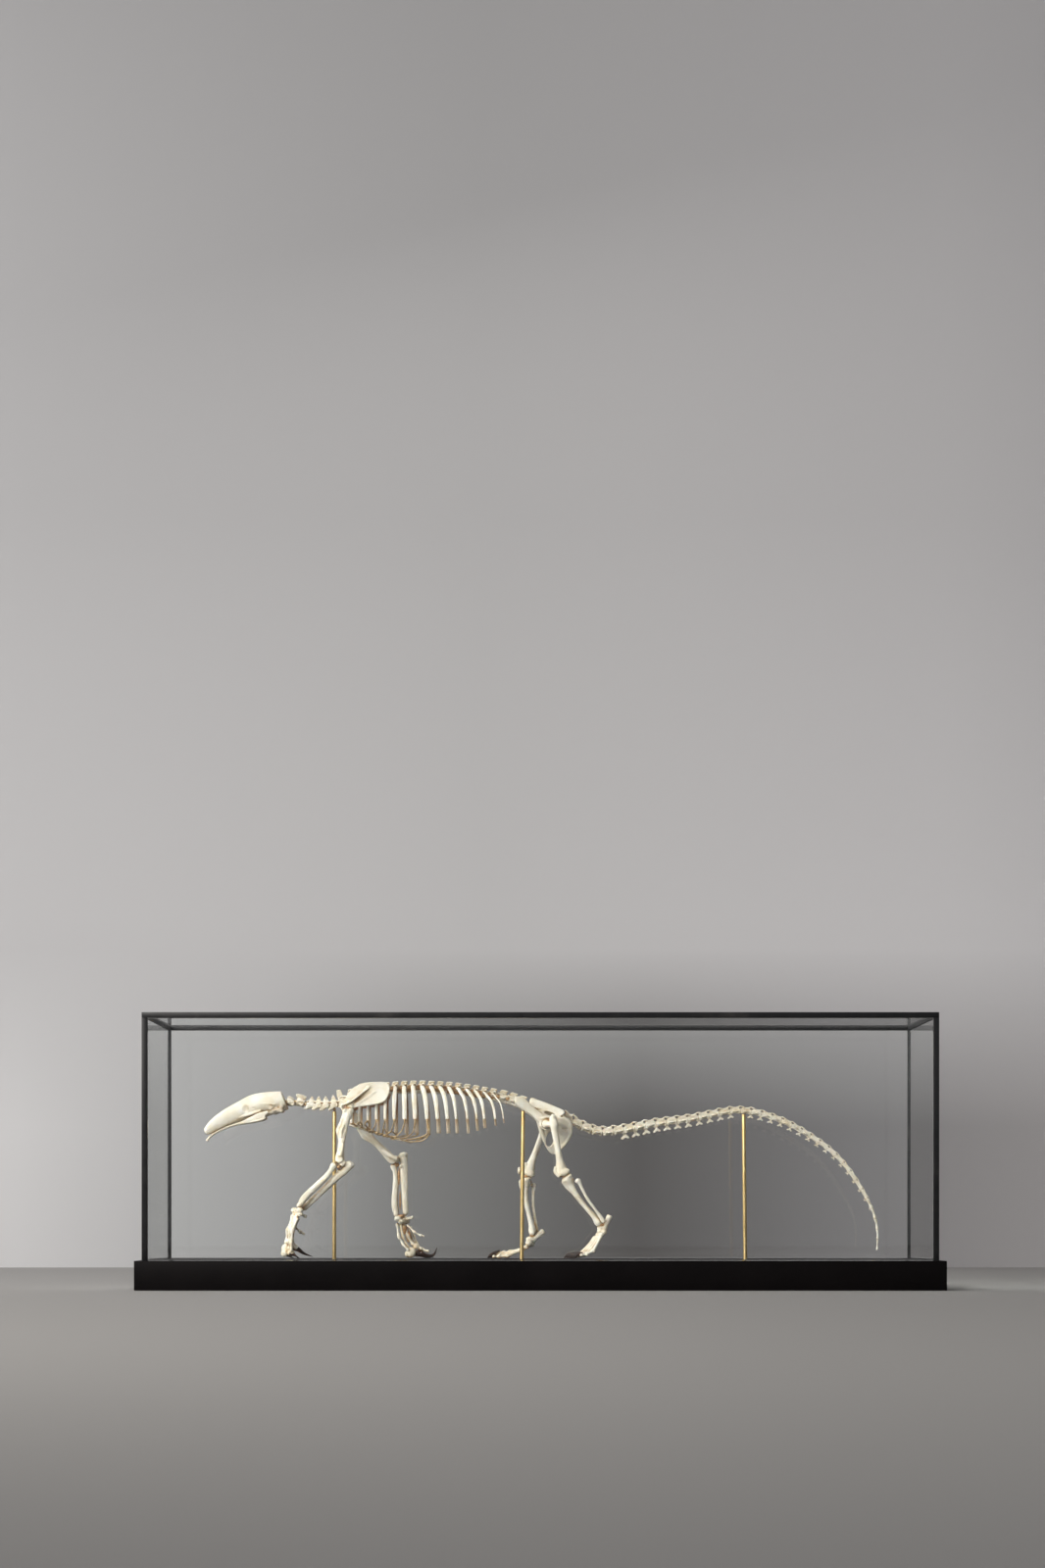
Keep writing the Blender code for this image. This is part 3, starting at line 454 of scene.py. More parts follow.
def plate(outline, out, thickness, lean=0.0, lean_from=0.0, steps=3):
    """A slab with a side-view outline of (x, z), smooth if it has steps, that leans outward as it rises."""
    shell = bmesh.new()
    loop = [Vector(corner) for corner in outline]
    if steps > 1:
        wrapped = [loop[-1], *loop, loop[0], loop[1]]
        loop = smooth_line(wrapped, steps)[steps : -2 * steps]
    corners = []
    for corner in loop:
        y = out - thickness / 2 + lean * (corner.y - lean_from)
        corners.append(shell.verts.new(Vector((corner.x, y, corner.y)) * MM))
    face = shell.faces.new(corners)
    grown = bmesh.ops.extrude_face_region(shell, geom=[face])["geom"]
    moved = [item for item in grown if isinstance(item, bmesh.types.BMVert)]
    bmesh.ops.translate(shell, vec=OUTWARD * thickness * MM, verts=moved)
    bmesh.ops.triangulate(shell, faces=shell.faces)
    return shell


def block(low, high, bevel=0.0, segments=2):
    shell = bmesh.new()
    low, high = Vector(low), Vector(high)
    size = Matrix.Diagonal((*(high - low), 1))
    matrix = Matrix.Scale(MM, 4) @ Matrix.Translation((low + high) / 2) @ size
    bmesh.ops.create_cube(shell, size=1, matrix=matrix)
    if bevel:
        bmesh.ops.bevel(shell, geom=shell.edges[:], offset=bevel * MM, segments=segments, profile=0.5,
                        affect="EDGES", material=-1)
    return shell


def dumbbell(start, end, start_half, end_half, waist):
    """A small long bone, thick at both ends and slim between."""
    slim = waist * min(start_half, end_half)
    course = ((0, start_half), (0.16, 0.86 * start_half), (0.5, slim), (0.84, 0.86 * end_half),
              (1, end_half))
    return limb([(start.lerp(end, share), half, half) for share, half in course], 2)


# Objects

def joined_mesh(name, shells):
    joined = bmesh.new()
    for shell in shells:
        bmesh.ops.recalc_face_normals(shell, faces=shell.faces)
        part = bpy.data.meshes.new("shell")
        shell.to_mesh(part)
        shell.free()
        joined.from_mesh(part)
        bpy.data.meshes.remove(part)
    mesh = bpy.data.meshes.new(name)
    joined.to_mesh(mesh)
    joined.free()
    return mesh


def add_object(name, mesh):
    made = bpy.data.objects.new(name, mesh)
    bpy.context.scene.collection.objects.link(made)
    return made


def settle(piece):
    """Applies every modifier, so that the piece is a plain mesh."""
    bpy.context.view_layer.update()
    graph = bpy.context.evaluated_depsgraph_get()
    mesh = bpy.data.meshes.new_from_object(piece.evaluated_get(graph), depsgraph=graph)
    old = piece.data
    piece.modifiers.clear()
    piece.data = mesh
    mesh.name = piece.name
    bpy.data.meshes.remove(old)
    return piece


def dress(piece, finish, nodes=()):
    piece.data.materials.clear()
    piece.data.materials.append(finish)
    piece.data.shade_smooth()
    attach(piece, BODY)
    if nodes:
        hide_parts(*nodes)
    return piece


def fused(name, shells, voxel=MEDIUM, rounds=3, cuts=(), swell=0.12, relief=0.25):
    """One grown form: the shells run together, carved by the cuts, smoothed, and made a little uneven."""
    piece = add_object(name, joined_mesh(name, shells))
    grown = piece.modifiers.new("grown", "REMESH")
    grown.mode = "VOXEL"
    grown.voxel_size = voxel * MM
    helper = None
    if cuts:
        helper = add_object(f"{name}_cuts", joined_mesh(f"{name}_cuts", list(cuts)))
        carve = piece.modifiers.new("carve", "BOOLEAN")
        carve.operation = "DIFFERENCE"
        carve.solver = "EXACT"
        carve.use_self = True
        carve.object = helper
        again = piece.modifiers.new("again", "REMESH")
        again.mode = "VOXEL"
        again.voxel_size = voxel * MM
    soft = piece.modifiers.new("soft", "SMOOTH")
    soft.factor = 0.5
    soft.iterations = rounds
    if relief:
        uneven = piece.modifiers.new("uneven", "DISPLACE")
        uneven.texture = UNEVEN
        uneven.texture_coords = "LOCAL"
        uneven.strength = relief * MM
        uneven.mid_level = 0.5 - swell / relief
    settle(piece)
    if helper:
        bpy.data.objects.remove(helper)
    return piece


UNEVEN = bpy.data.textures.new("bone_relief", "CLOUDS")
UNEVEN.noise_scale = 0.005
UNEVEN.noise_depth = 2


# Vertebrae

class Seat:
    """One vertebra's place: its middle, the way to the tail, up, and the middles of its two joints."""

    def __init__(self, before, middle, after):
        self.middle = middle
        self.tailward = (after - before).normalized()
        self.up = OUTWARD.cross(self.tailward) * -1
        self.front = (before + middle) / 2
        self.back = (after + middle) / 2
        self.half = (self.back - self.front).length / 2

    def at(self, along, out, up):
        return self.middle + self.tailward * along + OUTWARD * out + self.up * up

    def outline(self, points):
        """Side-view (x, z) points from points given along the backbone and up from it."""
        places = [self.at(along, 0, up) for along, up in points]
        return [(place.x, place.z) for place in places]


def backbone():
    """The seats of every vertebra, by stretch."""
    stretches = {
        "neck": (NECK_PLACES, None),
        "chest": (CHEST_LINE, CHEST_BONES),
        "loin": (LOIN_LINE, LOIN_BONES),
        "hip": (HIP_LINE, HIP_BONES),
        "tail": (TAIL_LINE, TAIL_BONES),
    }
    middles = []
    counts = {}
    for name, (line, count) in stretches.items():
        places = [Vector((x, 0, z)) for x, z in line]
        middles += evenly(places, count) if count else places
        counts[name] = count or len(places)
    padded = [2 * middles[0] - middles[1], *middles, 2 * middles[-1] - middles[-2]]
    seats = [Seat(*three) for three in zip(padded, middles, padded[2:])]
    found = {}
    start = 0
    for name, count in counts.items():
        found[name] = seats[start : start + count]
        start += count
    return found


def spool(seat, end, waist, tall=1.0, low=0.0):
    """The body of a vertebra, rimmed at both ends."""
    slack = (seat.back - seat.front).normalized() * GAP
    front, back = seat.front + slack, seat.back - slack
    down = seat.up * low
    course = [
        (front + down, end, end * tall),
        (front.lerp(seat.middle, 0.28) + down, 0.95 * end, 0.95 * end * tall),
        (seat.middle + down, waist, waist * tall),
        (back.lerp(seat.middle, 0.28) + down, 0.95 * end, 0.95 * end * tall),
        (back + down, end, end * tall),
    ]
    return limb(course, 2, 14, dome=0.15)


def roof(seat, half_long, out, low, high, thick=1.3):
    """The arch over the marrow's channel, open below."""
    course = [
        (seat.at(0, -out, low), half_long, thick),
        (seat.at(0, -out * 0.92, (low + high) / 2), half_long, thick),
        (seat.at(0, 0, high), half_long, thick * 1.1),
        (seat.at(0, out * 0.92, (low + high) / 2), half_long, thick),
        (seat.at(0, out, low), half_long, thick),
    ]
    return limb(course, 3, 10, across=seat.tailward, dome=0.2)


def both_sides(make):
    """A shell for the left and one for the right, each from its side's sign."""
    return [make(side) for side in (LEFT, RIGHT)]


def neck_bone(seat, top, flat_top, wing):
    """A neck vertebra behind the axis: a tent above, and two leaves that point down and ahead."""
    head = 3.4 if flat_top else 1.2
    shells = [
        spool(seat, 5.2, 4.2, 0.85),
        roof(seat, 3.6, 5.6, 1.5, 6.6),
        plate(seat.outline([(-4.2, 4.5), (-head, top - 1), (-head * 0.6, top), (head * 0.6, top),
                            (head, top - 1), (4.2, 4.5)]), 0, 3.0, steps=2),
        plate(seat.outline([(0.3 - seat.half, 2.3), (-seat.half, 4.0), (-3.4, 6.6), (3.4, 6.6),
                            (seat.half + 0.4, 4.6),
                            (seat.half - 0.2, 2.4), (3.6, 1.4), (-3.6, 1.4)]), 0, 9.4, steps=2),
    ]
    edge = seat.half - 0.3
    leaf = [(-9.8, -8.6), (-8.0, -4.6), (-edge, -2.2), (-edge, 0.8), (-3.4, 2.4), (3.0, 2.4), (edge, 0.9),
            (edge, -2.4), (4.4, -4.6), (1.0, -4.4), (-5.0, -8.2)]
    for side in (LEFT, RIGHT):
        shells.append(plate(seat.outline([(a * wing, u * wing) for a, u in leaf]), 8.2 * side, 2.4,
                            steps=1))
        shells.append(limb([(seat.at(0, 4 * side, -1), 3.0, 2.4),
                            (seat.at(-0.5, 8.6 * side, -1.4), 3.0, 2.2)], 1,
                           across=seat.tailward))
        for end in (-1, 1):
            shells.append(ball(seat.at(end * (seat.half - 1.4), 4.6 * side, 3.8), (2.4, 1.9, 1.6)))
    return shells


def atlas_bone(seat):
    """The first neck vertebra: a wide ring with a wing on each side."""
    shells = [
        limb([(seat.at(-4.2, 0, 0.2), 8.2, 6.2), (seat.at(0, 0, 0), 8.0, 6.4),
              (seat.at(5.6, 0, -0.8), 6.6, 5.2)],
             sides=16, dome=0.2),
        plate(seat.outline([(-3.6, 4), (-3.4, 8.0), (-1.2, 8.6), (4.0, 6.4), (6.0, 2)]), 0, 9.5, steps=2),
    ]
    wing = [(-5.2, 2.4), (-1.2, 4.6), (4.4, 3.4), (7.8, -1.6), (6.4, -4.6), (1.6, -4.0), (-4.2, -2.0)]
    for side in (LEFT, RIGHT):
        shells.append(plate(seat.outline(wing), 11.0 * side, 3.0, steps=2))
        shells.append(limb([(seat.at(0.5, 5 * side, 0), 4.4, 3), (seat.at(1, 13.4 * side, -0.6), 4.2, 1.4)],
                           2,
                           across=seat.tailward))
    return shells


def axis_bone(seat):
    """The second neck vertebra: a long blade above its body."""
    blade = [(-7.0, 9.6), (-5.6, 12.6), (0.5, 12.0), (6.0, 11.0), (9.4, 9.4), (7.6, 5.6), (5.8, 2.0),
             (-1.6, 2.0)]
    shells = [
        limb([(seat.at(-6.0, 0, -0.4), 6.4, 4.8), (seat.at(0, 0, -0.6), 5.0, 4.2),
              (seat.at(6.4, 0, -1.4), 5.8, 4.8)],
             sides=14, dome=0.2),
        roof(seat, 4.6, 5.2, 1.5, 6.4),
        plate(seat.outline(blade), 0, 2.6, steps=2),
        limb([(seat.at(-6, 0, 12.0), 1.7, 1.5), (seat.at(1, 0, 11.8), 1.9, 1.5),
              (seat.at(8, 0, 9.6), 1.7, 1.5)], 2),
    ]
    for side in (LEFT, RIGHT):
        shells.append(limb([(seat.at(0.5, 4 * side, -1.2), 3, 1.9),
                            (seat.at(4.4, 9 * side, -3.0), 2.4, 1.4)], 2,
                           across=seat.tailward))
        shells.append(ball(seat.at(6.6, 5 * side, 3.0), (2.8, 2.2, 2)))
    return shells


def chest_bone(seat, number):
    """A chest vertebra: a spine with a broad head, lapping prongs, and props for the ribs."""
    front = max(1 - number / 3, 0)
    rise = 13.6 + 2.5 * front
    head = min(4.3, 3.0 + 0.5 * number)
    foot = min(seat.half - 0.9, 6.2)
    outline = [(-foot, rise - 7.6), (-foot * 1.05, rise - 5.8), (-head * 1.15, rise - 2.6),
               (-head * 0.9, rise),
               (head * 0.9, rise), (head * 1.1, rise - 1.2), (head * 0.9, rise - 4.0),
               (foot * 0.8, rise - 7.4),
               (0, rise - 9.5)]
    shells = [
        spool(seat, 5.6, 4.6),
        roof(seat, 4.4, 5.4, 1.5, 7.2),
        plate(seat.outline(outline), 0, 2.8, steps=2),
        limb([(seat.at(-head * 0.8, 0, rise - 1.2), 2.1, 1.2),
              (seat.at(head * 0.8, 0, rise - 1.2), 2.1, 1.2)], 1),
    ]
    for side in (LEFT, RIGHT):
        shells.append(limb([(seat.at(0, 4 * side, 5.2), 2.8, 2.2), (seat.at(1.2, 9 * side, 7.6), 2.2, 2.0),
                            (seat.at(2.0, 12.5 * side, 8.6), 2.4, 2.0)], 2, across=seat.tailward))
        shells.append(limb([(seat.at(-2, 3.4 * side, 6.6), 1.8, 1.3),
                            (seat.at(-seat.half - 0.6, 3.6 * side, 6.8),
                                                                     1.6, 1.1)], 2, across=OUTWARD))
        shells.append(ball(seat.at(seat.half - 1.4, 3.6 * side, 5.4), (2.3, 1.9, 1.6)))
    return shells


# Ribs: the width at the top, in the middle and at the end, and how far it sweeps tailward, head to tail
RIB_FORMS = (
    (5.0, 5.0, 4.0, -4.0), (5.0, 5.2, 4.4, -4.0), (5.2, 5.4, 4.6, -4.0), (5.4, 5.6, 5.0, -4.0),
    (6.0, 5.8, 5.0, -4.0), (6.8, 8.0, 5.6, -3.6), (7.6, 8.6, 7.4, -0.8), (8.0, 9.2, 7.0, 1.3),
    (8.6, 8.8, 6.2, 6.0), (8.0, 8.4, 6.2, 8.4), (7.6, 7.6, 6.6, 9.8), (7.4, 6.6, 4.6, 9.8),
    (7.0, 6.2, 3.6, 13.5), (7.0, 6.2, 3.6, 14.5), (6.6, 6.2, 4.2, 12.5), (5.4, 4.8, 4.2, 15.8),
    (3.0, 2.6, 2.2, 15.0),
)
# Heights are shares of the drop, or of this length where the rib rises first
RIB_RISE = 45
RIB_THICKNESS = 2.3


def rib_course(seat, number, side):
    """The stations of one rib: out and over from its vertebra, then down. The left ones stand out more."""
    near = side == LEFT
    top, middle, end, sweep = RIB_FORMS[number]
    reach = min(22 + 4.6 * number, 49) if near else min(21 + 3.4 * number, 41)
    tail_end = max(number - 12, 0) / 4
    if near:
        end_z = 257.5 - 2 * max(3 - number, 0)
    else:
        end_z = 238 + 16 * tail_end + 5 * max(3 - number, 0)
        end = 0.5 * (middle + end) + 1.5 if number < 15 else end
    thin = (RIB_THICKNESS - 0.9 * tail_end) / 2
    drop = seat.middle.z - end_z
    lead = min(0.5 * number, 3.5)
    # Share of the sweep, of the reach, of the drop (or a small rise), the width, and the thickness
    course = (
        (0.0, 0.10, 0.04, 0.55 * top, 1.4), (0.05, 0.24, 0.10, 0.72 * top, 1.4),
        (0.16, 0.40, 0.085, 0.9 * top, 1.15), (0.38, 0.62, -0.05, top, 1.0),
        (0.62, 0.80, -0.21, middle, 1.0), (0.78, 0.91, -0.40, middle, 1.0),
        (0.92, 0.975, -0.70, 0.5 * (middle + end), 1.0), (1.0, 1.0, -1.0, end, 1.05),
    )
    stations = []
    for swept, out, rise, wide, thick in course:
        lift = rise * drop if rise < 0 else rise * RIB_RISE
        ahead = lead * (1 - swept)
        place = Vector((seat.middle.x + 2 + sweep * swept - ahead, reach * out * side,
                        seat.middle.z + lift))
        stations.append((place, 0.43 * wide if near else 0.37 * wide, thin * thick))
    return stations


def build_chest(finishes, seats):
    for number, seat in enumerate(seats):
        vertebra = fused(f"chest_vertebra_{number + 1:02d}", chest_bone(seat, number), SPINE_VOXEL, 2)
        dress(vertebra, finishes["bone"])
        pair = both_sides(lambda side: limb(rib_course(seat, number, side), 5, across=TAILWARD, dome=0.3))
        ribs = add_object(f"ribs_{number + 1:02d}", joined_mesh("ribs", pair))
        dress(ribs, finishes["rib"], [f"rib_pair_{number + 1:02d}"])


CHAIN_LINE = ((-266.5, 0, 242), (-239, 0, 233.8), (-221, 0, 229))
CHAIN_KNOBS = 9
# Each strand of rib cartilage after its rib's end, as (x, z) in side view, from the fourth rib on
STRANDS = (
    (3, ((-251.6, 246.0), (-256.0, 242.0), (-262.5, 239.6))),
    (4, ((-238.5, 244.0), (-240.5, 236.0))),
    (5, ((-223.6, 246.0), (-227.0, 239.6), (-236.0, 233.6))),
    (6, ((-208.0, 243.5), (-213.6, 236.2), (-221.4, 231.4), (-230.6, 231.4))),
    (7, ((-191.8, 240.4), (-197.6, 233.4), (-209.0, 229.2), (-225.6, 227.6))),
    (8, ((-170.0, 238.0), (-177.2, 232.0), (-189.8, 228.6), (-212.0, 225.6))),
    (8, ((-167.6, 240.0), (-171.0, 230.6), (-180.4, 224.6), (-196.0, 223.6), (-206.0, 225.0))),
)


def build_breastbone(finishes, seats):
    """The light front piece and tip, the brown knobby chain between, and the strands to the ribs."""
    front = [
        limb([((-291, 0, 249.6), 4.4, 1.6), ((-283, 0, 247.4), 6.2, 2.0), ((-272, 0, 244.0), 4.2, 2.0),
              ((-264.6, 0, 241.4), 3.6, 2.2)], 4, 12),
        limb([((-221.0, 0, 228.4), 2.4, 1.4), ((-214.0, 0, 226.4), 3.4, 1.3),
              ((-206.5, 0, 224.4), 2.4, 1.0)], 4),
    ]
    piece = fused("breastbone_ends", front, FINE, 1)
    dress(piece, finishes["bone"], ["breastbone"])
    chain = []
    for number, place in enumerate(evenly(CHAIN_LINE, CHAIN_KNOBS)):
        size = 2.2 + 0.7 * (number % 2)
        chain.append(ball(place, (2.8, size + 1.4, size), segments=14, rings=9))
        for side in (LEFT, RIGHT):
            chain.append(ball(place + Vector((1.2, 3.6 * side, 0.6)), (2.2, 1.5, 1.6), segments=10,
                              rings=7))
    piece = fused("breastbone_chain", chain, FINE, 1, swell=0, relief=0.5)
    dress(piece, finishes["cartilage"])
    strands = []
    for side in (LEFT, RIGHT):
        for number, line in STRANDS:
            before, end = [station[0] for station in rib_course(seats[number], number, side)[-2:]]
            course = [(end, 1.9, 1.1), (end + (end - before).normalized() * 3, 1.2, 1.0)]
            line = line if side == LEFT else line[-2:]
            for step, (x, z) in enumerate(line, 1):
                share = step / len(line)
                out = end.y * (1 - share) ** 0.8 + 2.5 * side * share
                course.append((Vector((x, out, z)), 0.95, 0.85))
            strands.append(limb(course, 5, 8, across=TAILWARD, dome=0.3))
        for number in range(3):
            end = rib_course(seats[number], number, side)[-1][0]
            for step in range(2):
                place = Vector((-284 + 9 * number + 5 * step, 3 * side, 248 - 2.6 * number))
                middle = end.lerp(place, 0.5) + Vector((4 - 9 * step, (2 + 4 * step) * side, -1 + 2 * step))
                strands.append(limb([(end, 1.9, 1.2), (middle, 1.1, 1.0), (place, 1.3, 1.0)], 5, 8,
                                    across=TAILWARD))
    piece = add_object("rib_cartilages", joined_mesh("rib_cartilages", strands))
    dress(piece, finishes["cartilage"])


def build_tissue(finishes, seats):
    """What dried on between the ribs, along the bodies of the chest and loin vertebrae."""
    shells = []
    for number, seat in enumerate(seats):
        wide = 5.6 + 0.9 * math.sin(2.3 * number)
        cover = 6.3 if number < len(seats) - 3 else 4.4
        shells.append(limb([(seat.at(0, 0, 1.4), cover, 6.0), (seat.back + seat.up * 1.0, wide, 6.6),
                            (seat.at(2 * seat.half, 0, 1.4), cover, 6.0)], 3, 12))
        for side in (LEFT, RIGHT):
            shells.append(ball(seat.back + OUTWARD * (5.0 * side) + seat.up * (2.5 + math.sin(1.7 * number)),
                               (3.6, 2.2, 3.8), segments=12, rings=8))
    piece = fused("spine_ligament", shells, LIGAMENT_VOXEL, 2, swell=0, relief=0.9)
    dress(piece, finishes["tissue"])


# Head

def build_skull(finishes):
    # Each station is x, lowest z, highest z and half the width
    sections = (
        (-511.6, 234.2, 243.2, 3.4), (-504, 235.4, 252.4, 5.2), (-494.4, 240.6, 262.0, 6.6),
        (-484.5, 244.9, 269.4, 7.6), (-475, 248.8, 275.8, 8.8), (-465, 252.6, 281.6, 10.4),
        (-455, 255.6, 286.7, 12.4), (-445.5, 258.0, 292.0, 14.6), (-436, 260.2, 296.4, 16.6),
        (-426, 262.6, 298.7, 18.4), (-416, 265.0, 300.0, 19.6), (-407, 267.4, 300.8, 20.2),
        (-398, 270.5, 301.2, 19.8), (-388, 272.5, 300.8, 18.0), (-380, 275.0, 299.0, 16.0),
    )
    stations = [((x, 0, (low + high) / 2), wide, (high - low) / 2) for x, low, high, wide in sections]
    hull = limb(stations, 3, 28, dome=0.5)
    corner = Vector((-396.0, 0, 301.4)) * MM
    cut = bmesh.ops.bisect_plane(hull, geom=[*hull.verts, *hull.edges, *hull.faces], plane_co=corner,
                                 plane_no=Vector((0.922, 0, 0.386)), clear_outer=True)
    rim = [item for item in cut["geom_cut"] if isinstance(item, bmesh.types.BMEdge)]
    bmesh.ops.edgeloop_fill(hull, edges=rim)
    bmesh.ops.triangulate(hull, faces=hull.faces)
    shells = [hull]
    for side in (LEFT, RIGHT):
        shells.append(ball((-398.0, 14.2 * side, 273.6), (7.0, 5.6, 5.4)))
        shells.append(ball((-405.5, 12.5 * side, 270.0), (6.4, 4.6, 4.4)))
        shells.append(ball((-393.8, 14.4 * side, 281.5), (4.6, 5.0, 6.6)))
        shells.append(ball((-389.8, 6.0 * side, 283.6), (3.6, 3.6, 4.6)))
        # The bar along the eye socket's lower edge
        shells.append(limb([((-462, 7.6 * side, 260.5), 1.6, 2.0), ((-450, 10.4 * side, 263.6), 2.0, 2.4),
                            ((-438.5, 13.6 * side, 266.8), 2.2, 2.8),
                            ((-426, 16.0 * side, 270.4), 1.8, 2.4)], 4))
        # The rough swellings around the ear
        for x, out, z, size in ((-404.6, 18.2, 281.6, 2.6), (-411.5, 16.8, 274.5, 2.6),
                                (-405.6, 17.4, 270.6, 2.2),
                                (-394.6, 17.4, 270.8, 2.6), (-392.8, 17.2, 278.2, 2.4),
                                (-412.6, 14.6, 268.0, 2.4)):
            shells.append(ball((x, out * side, z), (size * 1.3, size * 0.9, size)))
        # The ridge from the palate to the ear
        shells.append(limb([((-450, 6.5 * side, 260.4), 1.8, 2.4), ((-436, 8.5 * side, 261.4), 2.0, 3.2),
                            ((-420, 10.4 * side, 265.6), 2.4, 3.6), ((-407, 12 * side, 270.0), 2.2, 3.0)],
                            4))
        # The seam over the brain case and the swelling behind the nose
        shells.append(limb([((-436, 15.6 * side, 281.5), 0.9, 1.2), ((-420, 19.0 * side, 281.5), 0.9, 1.0),
                            ((-404, 20.0 * side, 280.5), 0.9, 1.2)], 4))
    cuts = [ball((-513.0, 0, 239.4), (5.6, 2.2, 3.0))]
    for side in (LEFT, RIGHT):
        cuts.append(ball((-449.5, 17.6 * side, 273.0), (7.0, 6.2, 10.4),
                         Matrix.Rotation(math.radians(-12), 3, "Y")))
        cuts.append(ball((-437.5, 19.6 * side, 274.5), (6.0, 4.6, 3.2)))
        cuts.append(ball((-399.3, 20.4 * side, 276.3), (2.0, 4.0, 2.2)))
        cuts.append(ball((-409.0, 19.4 * side, 278.4), (3.6, 2.2, 1.3),
                         Matrix.Rotation(math.radians(40), 3, "Y")))
        cuts.append(ball((-431.0, 5.0 * side, 256.2), (13.0, 2.6, 4.4)))
    cuts.append(ball((-386.4, 0, 288.0), (5.0, 3.8, 3.8)))
    piece = fused("skull_bone", shells, SKULL_VOXEL, 2, cuts)
    dress(piece, finishes["skull"], ["skull"])


def build_jaw(finishes):
    # x, distance out, z, half the thickness and half the height
    places = (
        (-508.6, 1.2, 225.4, 1.7, 2.6), (-505, 1.7, 231.0, 1.7, 1.7), (-494.5, 4, 238.4, 1.3, 1.4),
        (-475, 7.5, 247.0, 1.3, 1.3), (-455.5, 12.5, 252.7, 1.2, 2.0), (-445, 15.8, 256.2, 1.1, 3.0),
        (-434, 18.4, 260.4, 1.0, 4.4), (-425, 20.0, 264.0, 0.9, 4.6), (-415, 20.6, 268.6, 0.9, 2.4),
    )
    shells = []
    for side in (LEFT, RIGHT):
        course = [((x, out * side, z), thin, tall) for x, out, z, thin, tall in places]
        shells.append(limb(course, 5, 12))
        shells.append(limb([((-455, 12.8 * side, 251.4), 0.9, 0.9), ((-436, 18.2 * side, 254.4), 0.9, 0.9),
                            ((-424, 20.2 * side, 257.4), 0.9, 1.4), ((-419, 20.6 * side, 261.0), 0.9, 2.4)],
                            4))
    piece = fused("jaw_bone", shells, FINE, 2, swell=0.16)
    dress(piece, finishes["bone"], ["lower_jaw"])


def build_neck(finishes, seats):
    piece = fused("atlas_bone", atlas_bone(seats[0]), FINE, 1, relief=0.6)
    dress(piece, finishes["neck"], ["atlas"])
    piece = fused("axis_bone", axis_bone(seats[1]), FINE, 1, relief=0.6)
    dress(piece, finishes["neck"], ["axis"])
    tops = (12.0, 13.0, 13.4, 14.6, 20.4)
    for number, (seat, top) in enumerate(zip(seats[2:], tops), 3):
        wing = 1.0 if number < 7 else 0.7
        piece = fused(f"neck_vertebra_{number}", neck_bone(seat, top, number == 7, wing), FINE, 1,
                      relief=0.5)
        dress(piece, finishes["neck"], ["neck_vertebrae"])
    cushion = [ball(seat.back, (1.8, 4.4, 3.8)) for seat in seats[:-1]]
    cushion.append(limb([(seats[5].at(-3, 0, -3), 3.2, 2), (seats[5].at(0, 0, -8.6), 3.4, 2.4)], 2))
    piece = fused("neck_pads", cushion, MEDIUM, 1)
    dress(piece, finishes["cartilage"])


# Loin, hips and tail

def loin_bone(seat):
    """A loin vertebra: an upright spine, and a flat wing on each side."""
    outline = [(-6.0, 8), (-6.4, 10.5), (-4.6, 13.2), (-3.6, 14.2), (5.0, 14.2), (5.6, 13.0), (3.6, 9.5),
               (5.6, 5.5),
               (0, 4)]
    shells = [
        spool(seat, 6.4, 5.4),
        roof(seat, 5.0, 5.8, 2, 7.6),
        plate(seat.outline(outline), 0, 3.2, steps=2),
        limb([(seat.at(-3.4, 0, 13.2), 2.3, 1.1), (seat.at(5.0, 0, 13.2), 2.3, 1.1)], 1),
    ]
    for side in (LEFT, RIGHT):
        shells.append(limb([(seat.at(0, 4 * side, 1), 3.6, 2.4), (seat.at(1, 14.4 * side, 1.4), 3.0, 1.3)],
                           2,
                           across=seat.tailward))
        shells.append(limb([(seat.at(-2, 5 * side, 6.2), 2.2, 1.8),
                            (seat.at(-seat.half - 1, 5.6 * side, 7.2), 1.9,
                                                                    1.5)], 2))
        shells.append(ball(seat.at(seat.half - 1, 4.8 * side, 5.2), (2.8, 2.2, 1.9)))
    return shells


def build_loin(finishes, seats):
    for number, seat in enumerate(seats, 1):
        piece = fused(f"loin_vertebra_{number}", loin_bone(seat), SPINE_VOXEL, 2)
        dress(piece, finishes["bone"], ["loin_vertebrae"])


# Place, size and tilt of the socket, the hole behind it, the sacrum's slot and the dent in the seat bone
HIP_OPENINGS = (
    ((9.5, 36.5, 250), (7.0, 7.0, 7.0), 0), ((15.6, 12, 229), (6.2, 15, 13.4), 12),
    ((14.6, 24, 266), (9.5, 9.5, 3.0), 20), ((38.5, 24.4, 242), (7.0, 4.6, 2.6), 24),
)
# The roof from the sacral crest down to the hip blades, then the seat bone and the pubis, as (x, z)
SACRUM_ROOF = (
    (-15, 288.6), (-8, 288.4), (8, 283), (24, 276.4), (37, 270.6), (36, 265), (26, 260.6), (10, 261),
    (-4, 266), (-17, 276),
)
SEAT_BONE = (
    (-4.6, 260.6), (-2.6, 246), (4, 228), (12.4, 210.6), (21.5, 204.6), (32, 211.6), (41, 221.6),
    (47.4, 231), (49.2, 240), (47, 251), (40, 259), (26, 261), (10, 262),
)


